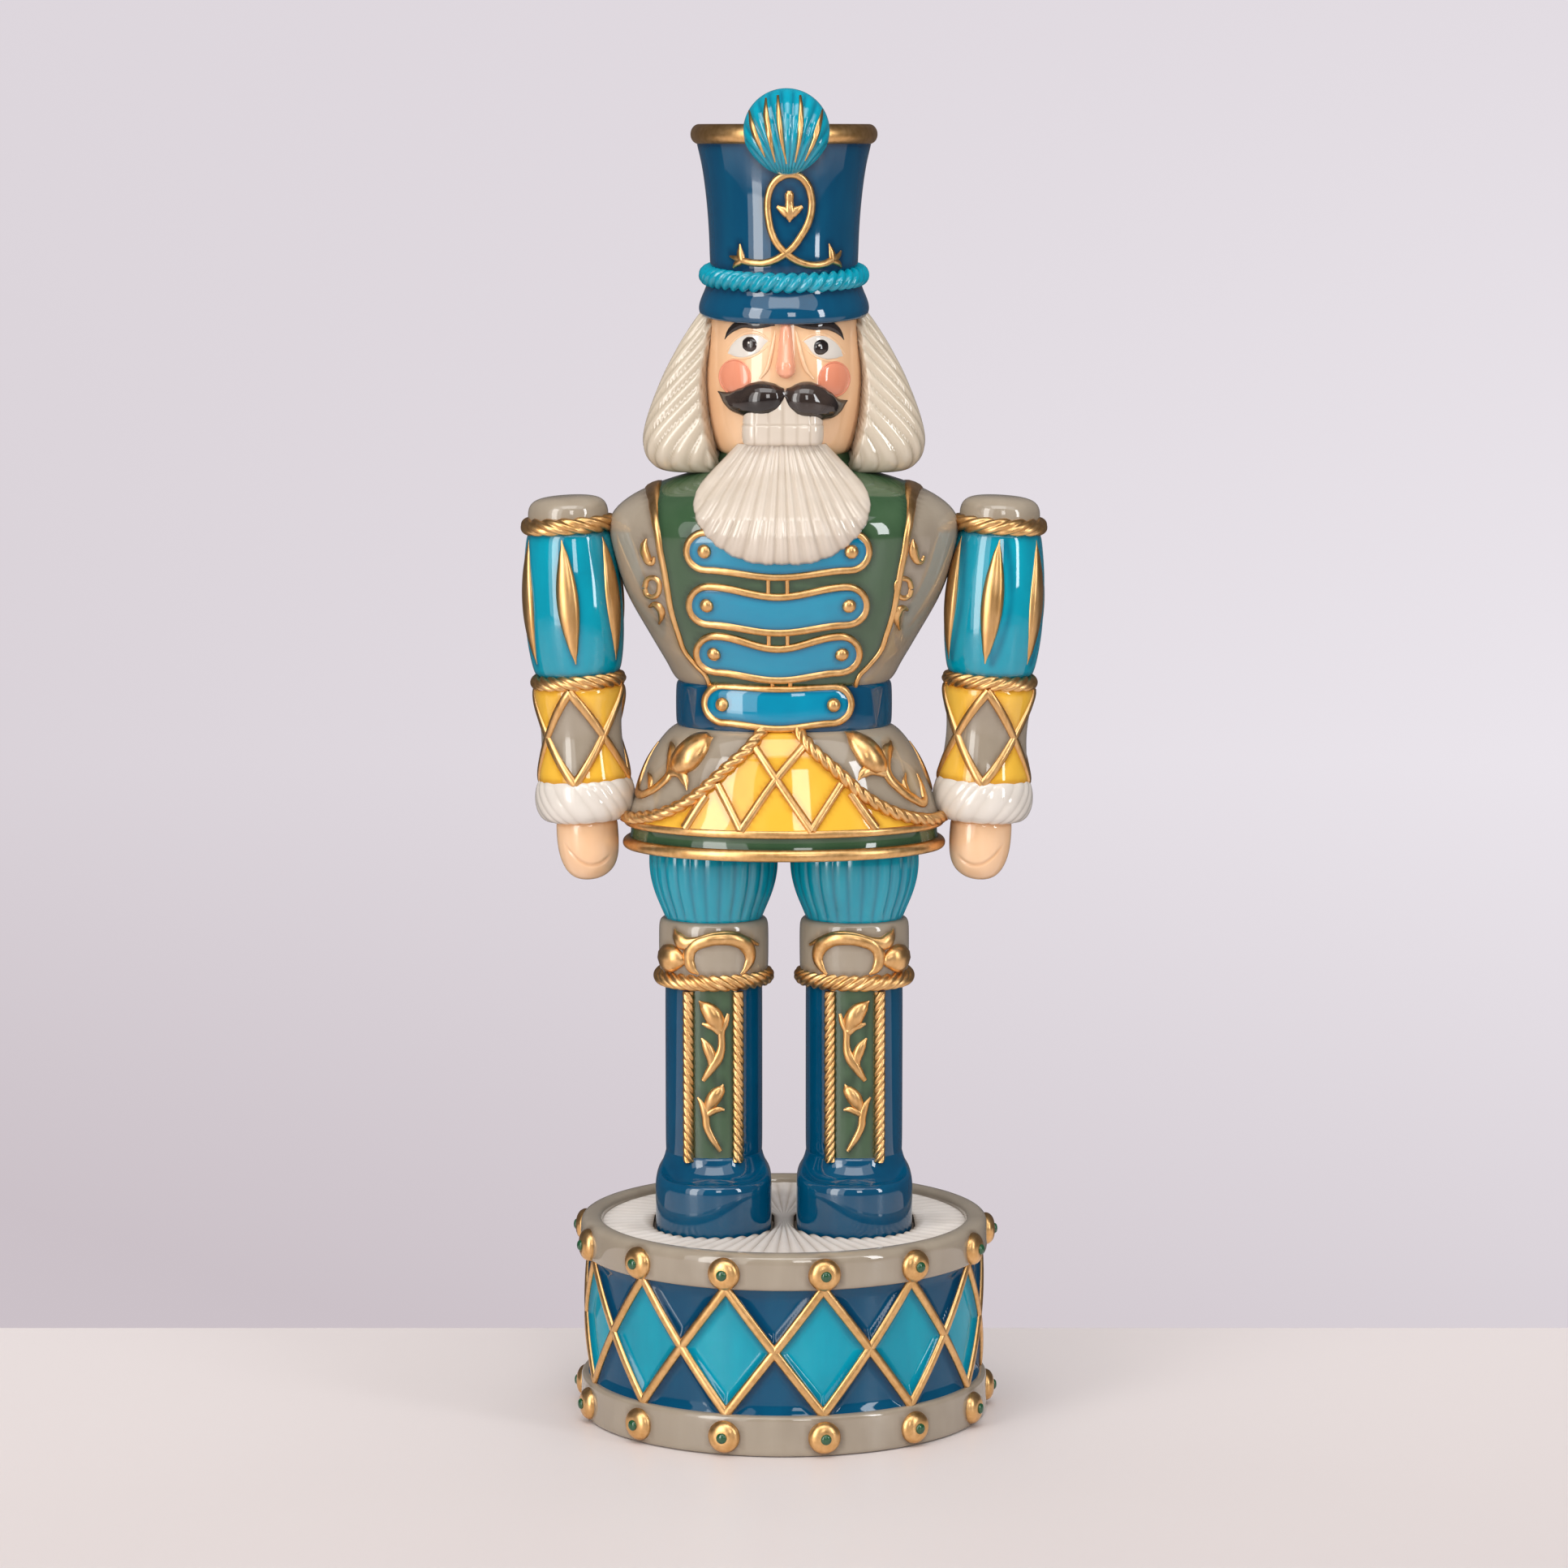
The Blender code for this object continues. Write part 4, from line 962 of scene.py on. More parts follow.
tulipRuns = [
    [(-40.6, 264.8, 0.1), (-42.4, 263.2, 2.9), (-45.4, 260.6, 4.9), (-49.2, 257.6, 5.4),
     (-52.9, 254.4, 3.8), (-55.2, 252.4, 1.2)],
    [(-63.4, 261.6, 0.3), (-61.2, 260.4, 0.9), (-58.6, 258.2, 1.5), (-56.2, 254.6, 1.6),
     (-55.0, 250.8, 1.5), (-57.8, 246.8, 1.4), (-62.8, 243.2, 1.3), (-69.6, 241.2, 1.2),
     (-76.0, 243.6, 1.3), (-79.0, 251.0, 1.3), (-77.6, 260.4, 0.4)],
    [(-44.6, 245.2, 0.2), (-46.4, 248.6, 1.2), (-50.2, 251.4, 1.5), (-55.2, 251.4, 1.6)],
    [(-63.0, 243.0, 0.9), (-65.4, 247.4, 1.0), (-69.4, 249.4, 0.3)],
    [(37.2, 267.0, 0.1), (38.6, 264.8, 2.7), (41.2, 261.4, 4.5), (44.2, 257.8, 5.0), (47.2, 254.0, 3.5),
     (48.8, 251.8, 1.4)],
    [(59.4, 262.4, 0.3), (57.4, 260.8, 1.0), (53.6, 259.0, 1.7), (50.4, 255.6, 1.8), (49.4, 251.0, 1.7),
     (53.4, 245.2, 1.6), (58.6, 241.0, 1.5), (63.8, 239.0, 1.3), (66.4, 243.0, 1.2), (66.6, 249.4, 0.4)],
    [(35.2, 249.4, 0.2), (38.0, 251.8, 1.3), (42.6, 253.0, 1.6), (48.4, 251.8, 1.7)],
    [(57.6, 241.8, 0.9), (56.6, 246.4, 1.0), (59.0, 250.4, 0.3)],
]
tulipRuns += [[(halfTurn + x, z, width) for x, z, width in run] for run in tulipRuns]      # and on the back
skirtTulips = modelStrokes("skirtTulips", fuller(tulipRuns, 1.35), skirt, rise=0.6, wrap=coatWrap)
poolAndShadeBeside(skirt, [skirtRope, skirtLattice, skirtTulips], 1.4, 0.75)
hemBand = throwOnWheel("hemBand", [
    (50, 219.6), (59.6, 220.0), (59.8, 222), (59.0, 224.4), (58.6, 226.6), (58.9, 228.6), (59.4, 230),
    (50, 230.6),
], sides=64, depth=bodyDepth)
lowLip = throwOnWheel("hemLowLip", [
    (58.6, 219.9), (60.4, 219.6), (61.6, 220.4), (62.0, 221.8), (61.6, 223.2), (60.2, 224.3), (58.6, 224.4),
], sides=64, depth=bodyDepth, hoop=True)
topLip = throwOnWheel("hemTopLip", [
    (59.0, 228.6), (60.6, 228.5), (61.4, 229.4), (61.5, 230.6), (60.9, 231.6), (59.2, 232.0),
], sides=64, depth=bodyDepth, hoop=True)
poolAndShadeBeside(hemBand, [lowLip, topLip], 1.2, 0.7)

hand(coatBody, coatGlaze, "coat_body")
hand(vestPiping, goldLustre)
hand(strapLinks, goldLustre)
hand(chestMarks, goldRound)
hand(belt, navyGlaze, "belt")
for fieldPiece, border, buttons, node in strapPieces:
    hand(fieldPiece, skyGlaze, node)
    hand(border, goldRound)
    hand(buttons, goldRound)
hand(skirt, skirtGlaze, "coat_skirt")
hand(skirtRope, goldRound, "skirt_rope_left", "skirt_rope_right")
hand(skirtLattice, goldRound)
hand(skirtTulips, goldRound)
hand(hemBand, greenGlaze, "coat_hem")
hand(lowLip, goldRound)
hand(topLip, goldRound)
print("coat done")


# ---- arms, built upright on the left, leaned in and mirrored

armX = -81.9
shoulderHeight = 344.0
armLean = 3.2
armMiddle = (armX, 0)
sleeveRadius = 18.7
cap = throwOnWheel("shoulderCapLeft", [
    (13, 341), (15.2, 343.6), (15.5, 347), (15.2, 350.2), (13.6, 352.6), (10.6, 353.9), (6, 354.5),
    (0.1, 354.6),
], sides=28, middle=armMiddle)
shoulderRope = twistCord(
    "shoulderRopeLeft", ringPath(15.1, 343.6, armMiddle), 3.4, 29.0, closed=True, strands=5, depth=0.3
)
upperSleeve = throwOnWheel("upperSleeveLeft", [
    (14, 285), (16.2, 286.6), (17.2, 290), (18.2, 296), (18.9, 304), (19.0, 314), (18.5, 326), (17.2, 335),
    (16.2, 341), (14, 342),
], sides=32, middle=armMiddle)
lozenges = []
for i in range(6):
    at = (i * 60 - 4) * math.pi / 180 * sleeveRadius
    lozenges.append([
        (at - 1.4, 338.8, 0.2), (at - 0.9, 334, 1.7), (at - 0.5, 326, 3.4), (at, 315, 4.3),
        (at + 0.6, 304, 3.2), (at + 1.2, 296, 1.5), (at + 1.6, 291.6, 0.2)
    ])
sleeveLozenges = modelStrokes(
    "sleeveLozengesLeft", lozenges, upperSleeve, rise=0.42, wrap=sleeveRadius, middle=armMiddle
)
elbowRope = twistCord(
    "elbowRopeLeft", ringPath(15.3, 284.0, armMiddle), 3.1, 23.0, closed=True, strands=5, depth=0.3
)
forearm = throwOnWheel("forearmSleeveLeft", [
    (15, 243), (17.6, 245), (16.9, 249), (15.8, 256), (15.3, 263), (15.6, 269), (16.5, 275), (17.4, 281),
    (16, 283),
], sides=48, middle=armMiddle)
foreTurn = math.radians(-10)


def diamondShare(x, y):
    share = (math.atan2(x - armX, -y) - foreTurn) / (math.tau / 4) % 1
    return min(share, 1 - share)


paintField(forearm, "net", lambda x, y, z: 1 - diamondShare(x, y) / 0.5 - abs(z - 263.4) / 18.0)
foreBars = []
foreGirth = 16.0
for i in range(4):
    start = (foreTurn + i * math.tau / 4) * foreGirth
    step = math.tau / 4 * foreGirth
    for a, b in ((281.0, 245.8), (245.8, 281.0)):
        foreBars.append([(start + step * t, a + (b - a) * t, 1.75) for t in (0, 0.25, 0.5, 0.75, 1)])
forearmBars = modelStrokes("forearmBarsLeft", foreBars, forearm, rise=0.62, wrap=foreGirth, middle=armMiddle)
furCuff = throwOnWheel("furCuffLeft", [
    (12, 229.8), (15.6, 230.4), (18.0, 232.6), (19.2, 236.4), (19.3, 240.4), (18.6, 244.2), (17.2, 246.6),
    (15.0, 247.2),
], sides=48, middle=armMiddle, smoothing=3)


def furRidge(x, y, z):
    turn = math.atan2(x - armX, -y)
    return abs(math.sin(turn * 9 + z * 0.33 + 0.8 * math.sin(turn * 4 + z * 0.2)))


press(furCuff, lambda x, y, z: 0.3 * furRidge(x, y, z) - 0.2)
# painted shade in the grooves of the fur
paintField(furCuff, "poolAndShade", lambda x, y, z: 0.2 * (1 - furRidge(x, y, z)) ** 2)
handLevels = [
    (207.0, -0.4, 0.1, 0.1), (207.2, -0.4, 3.2, 3.0), (208.4, -0.2, 6.4, 6.0), (211.2, 0.2, 9.4, 8.8),
    (215.6, 0.2, 11.2, 10.4), (221.0, 0, 11.9, 10.9), (227.0, 0, 11.9, 10.8), (233, 0, 11.6, 10.6),
]


def handPlace(ring, angle):
    z, aside, half, deep = handLevels[ring]
    return armX + aside + half * math.sin(angle), -deep * math.cos(angle) - 0.6, z


mitten = stackRings("handLeft", len(handLevels), 32, handPlace, 3)


def fingerCrease(x, y, z):
    # the curved line below the fingers
    wanted = 213.6 + 0.075 * (x - armX - 2.0) ** 2
    return math.exp(-((z - wanted) / 0.55) ** 2) * (1 if y < -1 else 0) * fade(9.5 - abs(x - armX), 0, 3)


press(mitten, lambda x, y, z: -0.55 * fingerCrease(x, y, z))
# painted shade in the crease below the fingers
paintField(mitten, "poolAndShade", lambda x, y, z: 0.45 * fingerCrease(x, y, z))
poolAndShadeBeside(upperSleeve, [sleeveLozenges, shoulderRope, elbowRope], 1.3, 0.75)
poolAndShadeBeside(forearm, [forearmBars, elbowRope, furCuff], 1.3, 0.75)
poolAndShadeBeside(mitten, [furCuff], 1.2, 0.5)
armPieces = [
    (cap, taupeGlaze, "shoulder_cap_left"),
    (shoulderRope, goldRound, "shoulder_rope_left"),
    (upperSleeve, tealGlaze, "upper_sleeve_left"),
    (sleeveLozenges, goldLustre),
    (elbowRope, goldRound, "elbow_rope_left"),
    (forearm, forearmGlaze, "forearm_sleeve_left"),
    (forearmBars, goldLustre),
    (furCuff, furGlaze, "fur_cuff_left"),
    (mitten, fleshGlaze, "hand_left"),
]
pivot = Matrix.Translation((armX * mm, 0, shoulderHeight * mm))
lean = pivot @ Matrix.Rotation(math.radians(-armLean), 4, "Y") @ pivot.inverted()
for part in armPieces:
    part[0].data.transform(lean)
rightAxis = Matrix.Translation(
    (-armX * mm, 0, shoulderHeight * mm)
) @ Matrix.Rotation(math.radians(armLean), 4, "Y")
sleeveTwist, foreTwist = [rightAxis @ Matrix.Rotation(math.radians(degrees), 4, "Z") @ rightAxis.inverted()
                          for degrees in (-9, -14)]
handBothSides(armPieces, {
    sleeveLozenges.name: sleeveTwist,
    forearm.name: foreTwist,
    forearmBars.name: foreTwist,
})
print("arms done")


# ---- head

faceOutline = [
    (17, 369.6), (24.4, 370.6), (26.4, 373.2), (28.2, 379), (29.5, 386), (30.2, 394), (30.4, 402),
    (29.6, 410), (28.6, 418), (28.2, 425), (26, 429),
]
face = throwOnWheel("face", faceOutline, sides=56)
# the flesh turns darker towards the sides of the face
paintField(face, "poolAndShade", lambda x, y, z: 0.34 * fade(abs(x), 15, 27))
eyes = ((-12.7, 412.7), (13.7, 411.7))
cheekSpots = ((-18.4, 400.4), (18.8, 399.6))


def dab(x, z, shape):
    # a rounded dab; shape holds (distance, half width) from its middle outwards
    return ([(x - away, z, width) for away, width in reversed(shape[1:])]
            + [(x + away, z, width) for away, width in shape])


almonds = modelStrokes("eyeWhites", [
    [(-6.0, 414.2, 0.2), (-9.0, 413.7, 2.7), (-12.7, 412.5, 4.1), (-16.6, 411.0, 3.7), (-19.4, 409.9, 1.9),
     (-21.0, 409.2, 0.2)],
    [(7.4, 414.0, 0.2), (10.4, 413.3, 2.7), (14.1, 411.9, 4.1), (18.0, 410.3, 3.6), (20.6, 409.0, 1.8),
     (22.0, 408.2, 0.2)],
], face, rise=0.14, facets=5)
pupils = modelStrokes("pupils", [
    dab(x, z, [(0, 3.0), (1.3, 2.75), (2.4, 1.9), (2.9, 0.7)]) for x, z in eyes], face, rise=0.42)
# painted highlights: a white dot on each pupil standing in for the reflection of the lamps
paintedGlints = modelStrokes("pupilPaintedGlints", [
    dab(x - 0.5, z + 0.7, [(0, 0.45), (0.4, 0.2)]) for x, z in eyes], pupils, rise=0.3)
eyeLids = modelStrokes("eyeLids", [
    [(-5.2, 414.0, 0.3), (-8.6, 416.6, 0.5), (-13.0, 417.2, 0.55), (-17.6, 414.9, 0.5), (-21.6, 410.2, 0.3)],
    [(-6.0, 412.2, 0.25), (-9.8, 409.4, 0.4), (-14.6, 407.6, 0.45), (-19.6, 407.6, 0.3)],
    [(6.6, 413.8, 0.3), (10.0, 416.2, 0.5), (14.4, 416.5, 0.55), (18.8, 414.0, 0.5), (22.8, 408.9, 0.3)],
    [(7.2, 411.8, 0.25), (11.0, 408.8, 0.4), (15.6, 406.8, 0.45), (20.4, 406.6, 0.3)]], face, rise=0.6)
brows = modelStrokes("brows", [
    [(-3.4, 420.0, 0.3), (-6.2, 420.4, 1.3), (-10.6, 420.2, 1.7), (-15.4, 420.4, 1.7), (-18.6, 418.9, 1.4),
     (-20.8, 416.8, 0.8), (-22.2, 414.4, 0.15)],
    [(3.6, 420.2, 0.3), (6.6, 420.2, 1.3), (11.4, 419.6, 1.6), (16.2, 419.8, 1.8), (19.2, 418.4, 1.5),
     (21.2, 416.4, 0.8), (22.5, 414.2, 0.15)],
], face, rise=0.5)
cheeks = modelStrokes("cheeks", [
    dab(x, z, [(0, 6.3), (3.6, 5.0), (5.2, 2.6), (5.7, 0.5)]) for x, z in cheekSpots],
    face, rise=0.13, facets=6)
cheekRims = modelStrokes("cheekRims", [
    [(x + 5.8 * math.sin(i / 16 * math.tau), z + 6.4 * math.cos(i / 16 * math.tau), 0.32) for i in range(16)]
    for x, z in cheekSpots], face, rise=1.0, closed=True)
folds = modelStrokes("faceFolds", [
    [(-3.2, 418.0, 0.3), (-4.0, 413.6, 0.7), (-5.0, 408.6, 0.85), (-6.4, 403.6, 0.8), (-9.0, 400.0, 0.4)],
    [(4.4, 418.0, 0.3), (5.4, 413.6, 0.7), (6.5, 408.6, 0.85), (8.2, 403.6, 0.8), (11.0, 400.0, 0.4)],
], face, rise=0.8)
letGo()
noseLine = [
    (0.65, -27.0, 421.6, 1.5), (0.65, -27.9, 419.2, 2.1), (0.65, -29.2, 413, 2.7),
    (0.65, -30.6, 407.6, 3.2), (0.65, -31.3, 404.9, 3.7), (0.65, -31.1, 402.9, 3.6),
    (0.65, -30.3, 401.7, 2.3),
]
bpy.ops.curve.primitive_bezier_curve_add(location=(0, 0, 0))
nose = justMade("nose")
nose.data.bevel_depth = mm
nose.data.bevel_resolution = 6
nose.data.use_fill_caps = True
nose.data.splines[0].bezier_points.add(len(noseLine) - 2)
for knot, (x, y, z, width) in zip(nose.data.splines[0].bezier_points, noseLine):
    knot.co = Vector((x, y, z)) * mm
    knot.radius = width
    knot.handle_left_type = knot.handle_right_type = "AUTO"
bpy.ops.object.convert(target="MESH")
nose = bpy.context.object
for vertex in nose.data.vertices:
    vertex.co.y = -28 * mm + (vertex.co.y + 28 * mm) * 1.12
faceOutwards(nose)
smoothOver(nose)
poolAndShadeBeside(face, [nose, brows, folds], 0.9, 0.28)
poolAndShadeBeside(face, [cheekRims], 0.8, 0.2)

moustache = modelStrokes("moustache", [
    [(0.4, 394.6, 2.2), (-2.2, 393.9, 4.6), (-5.8, 392.9, 6.5), (-10.2, 392.1, 6.8), (-15.0, 391.6, 5.5),
     (-19.6, 392.2, 3.5), (-24.8, 394.8, 0.2)],
    [(0.2, 394.6, 2.2), (2.8, 393.6, 4.8), (6.4, 392.5, 6.9), (10.4, 391.3, 7.1), (14.6, 390.2, 6.0),
     (18.8, 389.9, 3.9), (23.8, 391.4, 0.2)],
], face, rise=0.85, facets=8)
toothLevels = [
    (375.0, 12.6, 10.6), (375.3, 14.6, 12.2), (376.4, 15.3, 12.9), (379, 15.5, 13.2), (382.0, 15.5, 13.2),
    (382.8, 15.4, 13.1), (383.6, 15.2, 12.9), (386.5, 15.0, 12.8), (390, 14.8, 12.6), (394, 14.2, 12.0),
    (397, 13, 11),
]


def toothPlace(ring, angle):
    z, half, depth = toothLevels[ring]
    c, s = math.cos(angle), math.sin(angle)
    return -0.45 + half * squarer(s, 0.42), -20 - depth * squarer(c, 0.42), z


teeth = stackRings("teeth", len(toothLevels), 96, toothPlace, 2)
gaps = (-10.9, -5.8, -0.5, 4.9, 9.8)


def toothGap(x, y, z):
    across = max(math.exp(-((x - gap) / 0.42) ** 2) for gap in gaps) if y < -25 else 0
    between = math.exp(-((z - 382.9) / 0.42) ** 2)
    return max(across, between)


press(teeth, lambda x, y, z: -0.2 * toothGap(x, y, z))
# painted shade in the gaps between the teeth
paintField(teeth, "poolAndShade", lambda x, y, z: 0.42 * toothGap(x, y, z))

hairLevels = [
    (364.6, 30, 10, 20), (363.4, 40.0, 13.5, 25), (364.2, 46.6, 15.5, 29.5), (366.8, 50.4, 17.0, 32.5),
    (371.0, 52.8, 18.0, 35.0), (376.2, 53.6, 18.4, 36.4), (382.3, 52.4, 18.2, 36.2),
    (388.5, 50.4, 17.6, 35.2), (394.6, 48.0, 17.0, 34.2), (400.8, 45.4, 16.4, 33.2),
    (406.9, 42.2, 15.8, 32.2), (413.0, 38.8, 15.2, 31.4), (419.0, 35.0, 14.6, 30.6),
    (424.0, 31.4, 14.0, 30.0), (427, 28, 12, 28),
]

# the hair stays beside the face: (height, how near the middle it comes)
hairInner = [(366, 22), (373, 24.2), (381, 25.8), (390, 27.2), (403, 27.4), (417, 24.6)]


def hairPlace(ring, angle):
    z, half, front, back = hairLevels[ring]
    c, s = math.cos(angle), math.sin(angle)
    x = half * squarer(s, 0.9)
    inner = along(hairInner, z)
    fall = fade(abs(x), inner, inner + 3.2)
    y = -front * abs(c) ** 0.45 * fall if c > 0 else -back * c
    return x, y + 1.0, z


hair = stackRings("hair", len(hairLevels), 160, hairPlace, 2)


def strandPhase(x, y, z):
    turn = abs(math.atan2(x, -y))
    sweep = 0.34 * (1 - fade(turn, 1.7, 2.6))
    return turn * 36 - (424 - z) * sweep + 1.4 * math.sin(z * 0.07 + turn * 3)


def strandRidge(x, y, z):
    return abs(math.sin(math.pi * strandPhase(x, y, z) / 3.3))


def hairRise(x, y, z):
    return (1.0 * strandRidge(x, y, z) ** 0.8 - 0.7) * fade(z, 363, 370)


press(hair, hairRise)
# painted shade in the grooves between the strands and along the bottom edge of the hair
paintField(hair, "poolAndShade", lambda x, y, z:
           0.6 * (1 - strandRidge(x, y, z)) ** 1.8 + 0.2 * (1 - fade(z, 363, 374)))

beardApex = Vector((-0.8, 393.0))
beardReach = [
    (0, 60.4), (9, 61.0), (16.5, 60.6), (24, 59.4), (30, 57.6), (36, 54.6), (40, 51.2), (42.4, 47.6),
    (43.6, 43),
]


def beardRib(u):
    u += 0.02 * math.sin(9 * u)
    return 0.72 * abs(math.cos(u * math.pi * 7.5)) + 0.28 * abs(math.cos(u * math.pi * 20))


def beardSpot(u, v):
    angle = math.radians(43.5 * u)
    reach = along(beardReach, abs(math.degrees(angle))) + 0.7 * beardRib(u)
    inner = 17.5 / math.cos(angle)
    length = inner + (reach - inner) * v
    x = beardApex.x + length * math.sin(angle)
    z = beardApex.y - length * math.cos(angle)
    chest = coatFront(x, z)
    fall = min(max((373 - z) / 42, 0.0), 1.0)
    jut = 26 + 18 * math.sin(fall * math.pi / 2) - x * x / 70
    chest = (chest ** 8 + max(jut, 1.0) ** 8) ** (1 / 8)
    edge = (1 - abs(u) ** 8) * (1 - v ** 10) if v > 0 else 1 - abs(u) ** 8
    lift = (4.2 + 1.3 * (beardRib(u) ** 0.8 - 0.5) * fade(v, -0.2, 0.3)) * math.sqrt(max(edge, 0.0)) - 0.6
    return Vector((x, -chest - lift, z))


letGo()
bpy.ops.mesh.primitive_grid_add(x_subdivisions=240, y_subdivisions=48, size=2.0, location=(0, 0, 0))
beard = justMade("beard")
# painted shade in the grooves between the ribs of the beard
beardGrooveShade = []
for vertex in beard.data.vertices:
    u, v = vertex.co.x, 0.5 - vertex.co.y / 2
    beardGrooveShade.append(0.5 * (1 - beardRib(u)) ** 1.6 * fade(v, -0.1, 0.3))
    vertex.co = beardSpot(u, v) * mm
fieldOn(beard, "poolAndShade").data.foreach_set("value", beardGrooveShade)
faceOutwards(beard)
if sum(polygon.normal.y for polygon in beard.data.polygons) > 0:      # an open sheet may come out facing back
    faceOutwards(beard, inside=True)
thicken(beard, 3.0)

hand(face, fleshGlaze, "face_casting")
hand(nose, noseGlaze)
hand(almonds, furGlaze)
hand(pupils, blackGlaze)
hand(paintedGlints, furGlaze)
hand(eyeLids, fleshGlaze)
hand(folds, fleshGlaze)
hand(brows, blackGlaze)
hand(cheeks, roseGlaze)
hand(cheekRims, roseGlaze)
hand(moustache, blackGlaze, "moustache_left", "moustache_right")
hand(teeth, ivoryGlaze, "teeth")
hand(hair, hairGlaze, "hair_left", "hair_right")
hand(beard, ivoryGlaze, "beard")
print("head done")


# ---- hat

hatTilt = 0.085     # the band and visor dip towards the front
visor = throwOnWheel("hatVisor", [
    (24, 424.6), (29.6, 422.6), (31.5, 423.0), (32.3, 424.6), (32.3, 426.6), (31.5, 429.2), (30.3, 431.8),
    (29.4, 434.2), (28.9, 436.8), (26, 438),
], sides=48, tilt=hatTilt)
hatRope = twistCord(
    "hatRope", ringPath(28.4, 438.0, tilt=hatTilt, count=300), 3.95, 12.4, closed=True, strands=3,
    depth=0.34, hand=-1
)
crown = throwOnWheel("hatCrown", [
    (24, 430), (28.0, 436), (28.2, 450), (28.9, 462), (30.1, 473), (31.4, 481), (33.0, 487), (33.2, 489.4),
    (31, 489.8), (15, 490), (0.1, 490),
], sides=48)
rim = throwOnWheel("hatRim", [
    (30, 487.0), (33.0, 486.8), (34.8, 488.2), (35.5, 490.2), (35.2, 492.4), (33.8, 494.2), (31.8, 494.7),
    (30.2, 493.6), (29.6, 491.0),
], sides=48, hoop=True)
hatLoop = modelStrokes("hatLoop", [
    [(-15.6, 443.8, 1.35), (-10.6, 443.0, 1.4), (-6.9, 443.1, 1.45), (-3.2, 444.3, 1.45),
     (0.2, 446.3, 1.45), (3.2, 448.8, 1.4), (6.3, 453.0, 1.4), (9.1, 458.2, 1.4), (10.3, 463.8, 1.4),
     (10.0, 468.1, 1.45), (8.5, 472.3, 1.5), (5.7, 475.1, 1.5), (2.3, 475.9, 1.5), (-1.4, 474.8, 1.5),
     (-4.1, 472.4, 1.45), (-5.7, 468.7, 1.4), (-6.2, 463.8, 1.4), (-5.7, 458.9, 1.4), (-4.5, 454.0, 1.4),
     (-2.6, 450.3, 1.4), (0.5, 446.9, 1.4), (3.2, 444.8, 1.45), (6.6, 443.1, 1.45), (11.0, 442.2, 1.45),
     (14.7, 442.6, 1.4), (18.1, 444.0, 1.35)],
    [(-15.6, 443.6, 1.3), (-16.2, 446.2, 1.35), (-16.5, 450.0, 0.3)],
    [(-15.8, 444.2, 1.2), (-18.2, 444.8, 1.0), (-20.2, 445.4, 0.4)],
    [(-15.8, 443.8, 1.3), (-17.6, 442.6, 1.2), (-19.0, 441.2, 0.4)],
    [(18.2, 444.0, 1.3), (17.8, 446.8, 1.1), (16.8, 450.2, 0.2)],
    [(18.2, 444.4, 1.3), (20.2, 445.6, 1.0), (21.4, 447.4, 0.3)],
    [(18.4, 443.8, 1.3), (20.2, 442.8, 1.1), (21.4, 441.4, 0.4)],
], crown, rise=0.85)
hatBadge = modelStrokes("hatBadge", [
    [(2.0, 469.8, 0.9), (2.0, 468.6, 1.7), (2.0, 465.4, 1.6), (2.1, 462.0, 2.2), (2.1, 459.6, 1.4),
     (2.1, 458.2, 0.3)],
    [(-2.6, 464.0, 0.7), (-1.0, 463.0, 1.4), (1.2, 461.6, 2.0), (2.2, 460.6, 1.6)],
    [(6.8, 464.0, 0.7), (5.2, 463.0, 1.4), (3.0, 461.6, 2.0), (2.0, 460.6, 1.6)],
], crown, rise=0.7)
pompomMiddle = Vector((0.9, -30.0, 491.6))
letGo()
bpy.ops.mesh.primitive_uv_sphere_add(segments=192, ring_count=96, radius=1.0, location=(0, 0, 0))
pompom = justMade("pompom")
for vertex in pompom.data.vertices:
    x, y, z = vertex.co
    narrow = 1 - 0.10 * fade(-z, 0.1, 1.0)
    vertex.co = (pompomMiddle + Vector((x * 16.1 * narrow, y * 11.5, z * 16.0))) * mm
faceOutwards(pompom)
smoothOver(pompom)


def pompomPhase(x, z):
    return math.degrees(math.atan2(x - 1.3, z - 470.0)) / 7.4


def pompomRib(x, z):
    return abs(math.cos(math.pi * pompomPhase(x, z)))


press(pompom, lambda x, y, z:
      (0.75 * pompomRib(x, z) ** 0.8 - 0.5) * fade(z, 474, 480) * fade(-y, 30.0, 36.0))
# painted shade in the grooves between the ribs
paintField(pompom, "poolAndShade", lambda x, y, z: 0.75 * (1 - pompomRib(x, z)) ** 1.8 * fade(-y, 30, 36))
pompomStripes = modelStrokes("pompomStripes", [
    [(-12.9, 499.4, 0.3), (-11.8, 494.4, 0.95), (-9.8, 488.4, 0.9), (-7.0, 482.2, 0.25)],
    [(-6.7, 503.8, 0.4), (-6.5, 497.0, 1.1), (-5.4, 490.0, 1.0), (-3.3, 480.4, 0.25)],
    [(-2.3, 504.8, 0.45), (-1.9, 498.0, 0.95), (-1.1, 490.4, 0.9), (0.9, 479.8, 0.25)],
    [(6.0, 504.8, 0.45), (6.3, 498.0, 1.0), (5.8, 490.0, 0.95), (4.1, 480.4, 0.25)],
    [(14.3, 499.8, 0.3), (13.0, 494.4, 0.95), (11.2, 488.6, 0.95), (7.8, 480.9, 0.25)]], pompom, rise=0.8)
poolAndShadeBeside(crown, [hatLoop, hatBadge, pompom, hatRope, rim], 1.5, 0.8)
poolAndShadeBeside(visor, [hatRope], 1.4, 0.7)

hand(visor, navyGlaze, "hat_visor")
hand(hatRope, tealGlaze, "hat_rope")
hand(crown, navyGlaze, "hat_crown")
hand(rim, goldRound, "hat_rim")
hand(hatLoop, goldRound, "hat_loop")
hand(hatBadge, goldRound, "hat_badge")
hand(pompom, tealGlaze, "pompom")
hand(pompomStripes, goldLustre)
print("hat done")


# ---- studio

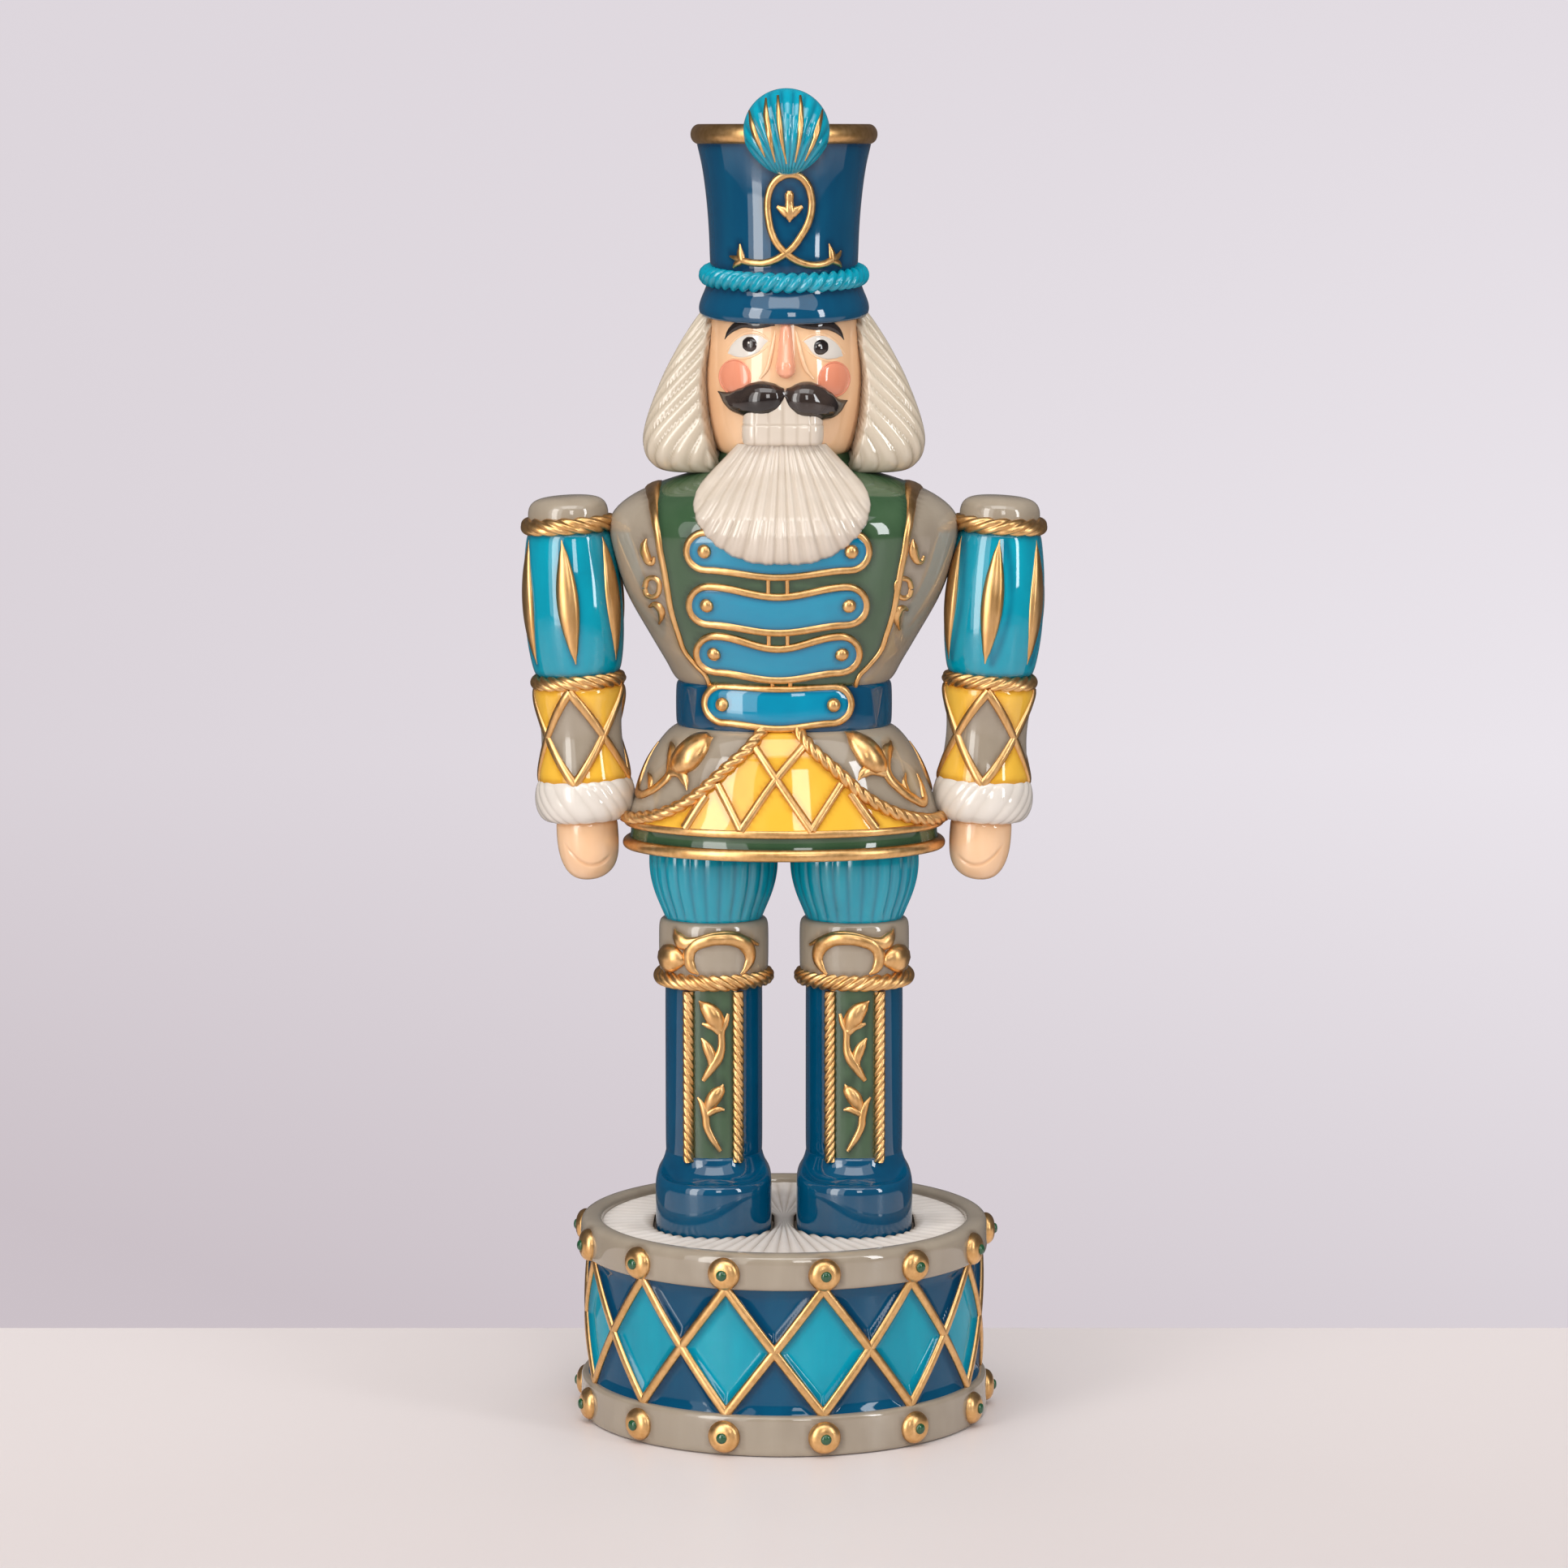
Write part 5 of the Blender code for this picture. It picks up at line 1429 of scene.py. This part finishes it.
studio = {
    "tableFrontShaded": (0.580, 0.520, 0.508),
    "tableBackLit": (0.855, 0.780, 0.765),
    "backdropDark": (0.600, 0.535, 0.575),
    "backdropLight": (0.840, 0.800, 0.850),
    "reflected": (0.105, 0.102, 0.110),
    "tableBackEdge": 0.132,
    "cameraPlace": (0, -1.94198, 0.48923),
    "cameraDown": 7.2,      # degrees
    "lens": 6300 / 1932 * 36,
}
letGo()
bpy.ops.mesh.primitive_plane_add(size=1.0, location=(0, 0, 0))
table = bpy.context.object
table.name = "tableTop"
for vertex in table.data.vertices:
    vertex.co = (vertex.co.x * 4.0, studio["tableBackEdge"] if vertex.co.y > 0 else -2.4, 0)
tableGlaze, shader, brush, place = startGlaze("tableTopPaintedLight")
# painted light: the table top is painted darker at the front and lighter at the back, standing in for the
# lamps lighting its back more than its front
away = brush.node("ShaderNodeSeparateXYZ", {}, {"Vector": place}, "Y")
tableShading = (away * 1.4 + 0.8).clamp().mix(studio["tableFrontShaded"], studio["tableBackLit"])
tableGlaze.node_tree.links.new(tableShading.socket, shader.inputs["Base Color"])
shader.inputs["Roughness"].default_value = 0.42
coatIn(table, tableGlaze)

world = bpy.data.worlds.new("studio")
bpy.context.scene.world = world
world.use_nodes = True
sky = Brush(world.node_tree)
background = world.node_tree.nodes["Background"]
# painted light: the backdrop the camera sees is painted lighter and darker across it, standing in for how the
# lamps fall on it; other rays see the dim reflected colour
seen = sky.node("ShaderNodeLightPath", {}, {}, "Is Camera Ray")
direction = sky.node(
    "ShaderNodeSeparateXYZ", {}, {"Vector": sky.node("ShaderNodeTexCoord", {}, {}, "Generated")}, "X"
)
upwards = Brush(world.node_tree, direction.socket.node.outputs["Z"])
fromHorizon = upwards + 0.12
backdropShading = (direction * 1.75 + 0.69 + sky.sum("MINIMUM", fromHorizon, 0.0) * 5.1
         - sky.sum("MAXIMUM", fromHorizon, 0.0) * (direction * 8.4 + 0.53))
worldColour = seen.mix(studio["reflected"], backdropShading.clamp().mix(
    studio["backdropDark"], studio["backdropLight"]
))
world.node_tree.links.new(worldColour.socket, background.inputs["Color"])
background.inputs["Strength"].default_value = 1.0


def softbox(name, place, aim, width, height, power, tint, mirrored=True):
    # one that isn't mirrored lights the glazes without showing in them
    letGo()
    bpy.ops.object.light_add(type="AREA", location=place)
    light = bpy.context.object
    light.name = name
    light.data.shape = "RECTANGLE"
    light.data.size = width
    light.data.size_y = height
    light.data.energy = power
    light.data.color = tint
    light.visible_glossy = mirrored
    light.rotation_euler = (Vector(aim) - Vector(place)).to_track_quat("-Z", "Y").to_euler()


softbox("keyBox", (-1.05, -1.25, 0.70), (0, 0, 0.30), 0.46, 1.5, 9.5, (1.0, 0.98, 0.95))
softbox("keyBoxWide", (-1.12, -1.42, 0.76), (0, 0, 0.30), 1.25, 1.5, 9, (1.0, 0.98, 0.96))
softbox("rightBox", (1.30, -1.00, 0.75), (0, 0, 0.28), 0.22, 1.0, 6.5, (0.96, 0.98, 1.0))
softbox("topBox", (0.0, -0.95, 1.60), (0, 0, 0.3), 1.0, 0.7, 4.5, (1.0, 1.0, 1.0))
softbox("topBoxWide", (0.0, -1.00, 1.68), (0, 0, 0.3), 2.6, 0.9, 9, (1.0, 1.0, 1.0))
softbox("frontBox", (0.42, -2.3, 1.05), (0, 0, 0.28), 0.42, 0.9, 6.5, (1.0, 0.98, 0.96))
softbox("roomLeft", (-1.9, -0.6, 0.9), (0, 0, 0.28), 1.6, 1.6, 1.5, (1.0, 0.97, 0.94), False)
softbox("roomRight", (1.9, -0.8, 0.9), (0, 0, 0.28), 1.6, 1.6, 4, (1.0, 0.97, 0.95), False)
softbox("roomBack", (0.0, 1.9, 1.6), (0, 0, 0.2), 1.8, 1.2, 7, (0.98, 0.98, 1.0), False)
softbox("roomTop", (0.0, 0.25, 2.0), (0, 0, 0.0), 2.4, 1.6, 23, (1.0, 0.98, 0.97), False)

bpy.ops.object.camera_add(location=studio["cameraPlace"], rotation=(math.radians(90 - studio[
    "cameraDown"
]), 0, 0))
camera = bpy.context.object
camera.data.sensor_width = 36.0
camera.data.lens = studio["lens"]
camera.data.clip_start = 0.05
bpy.context.scene.camera = camera
bpy.context.scene.view_settings.view_transform = "Standard"

print("studio set")
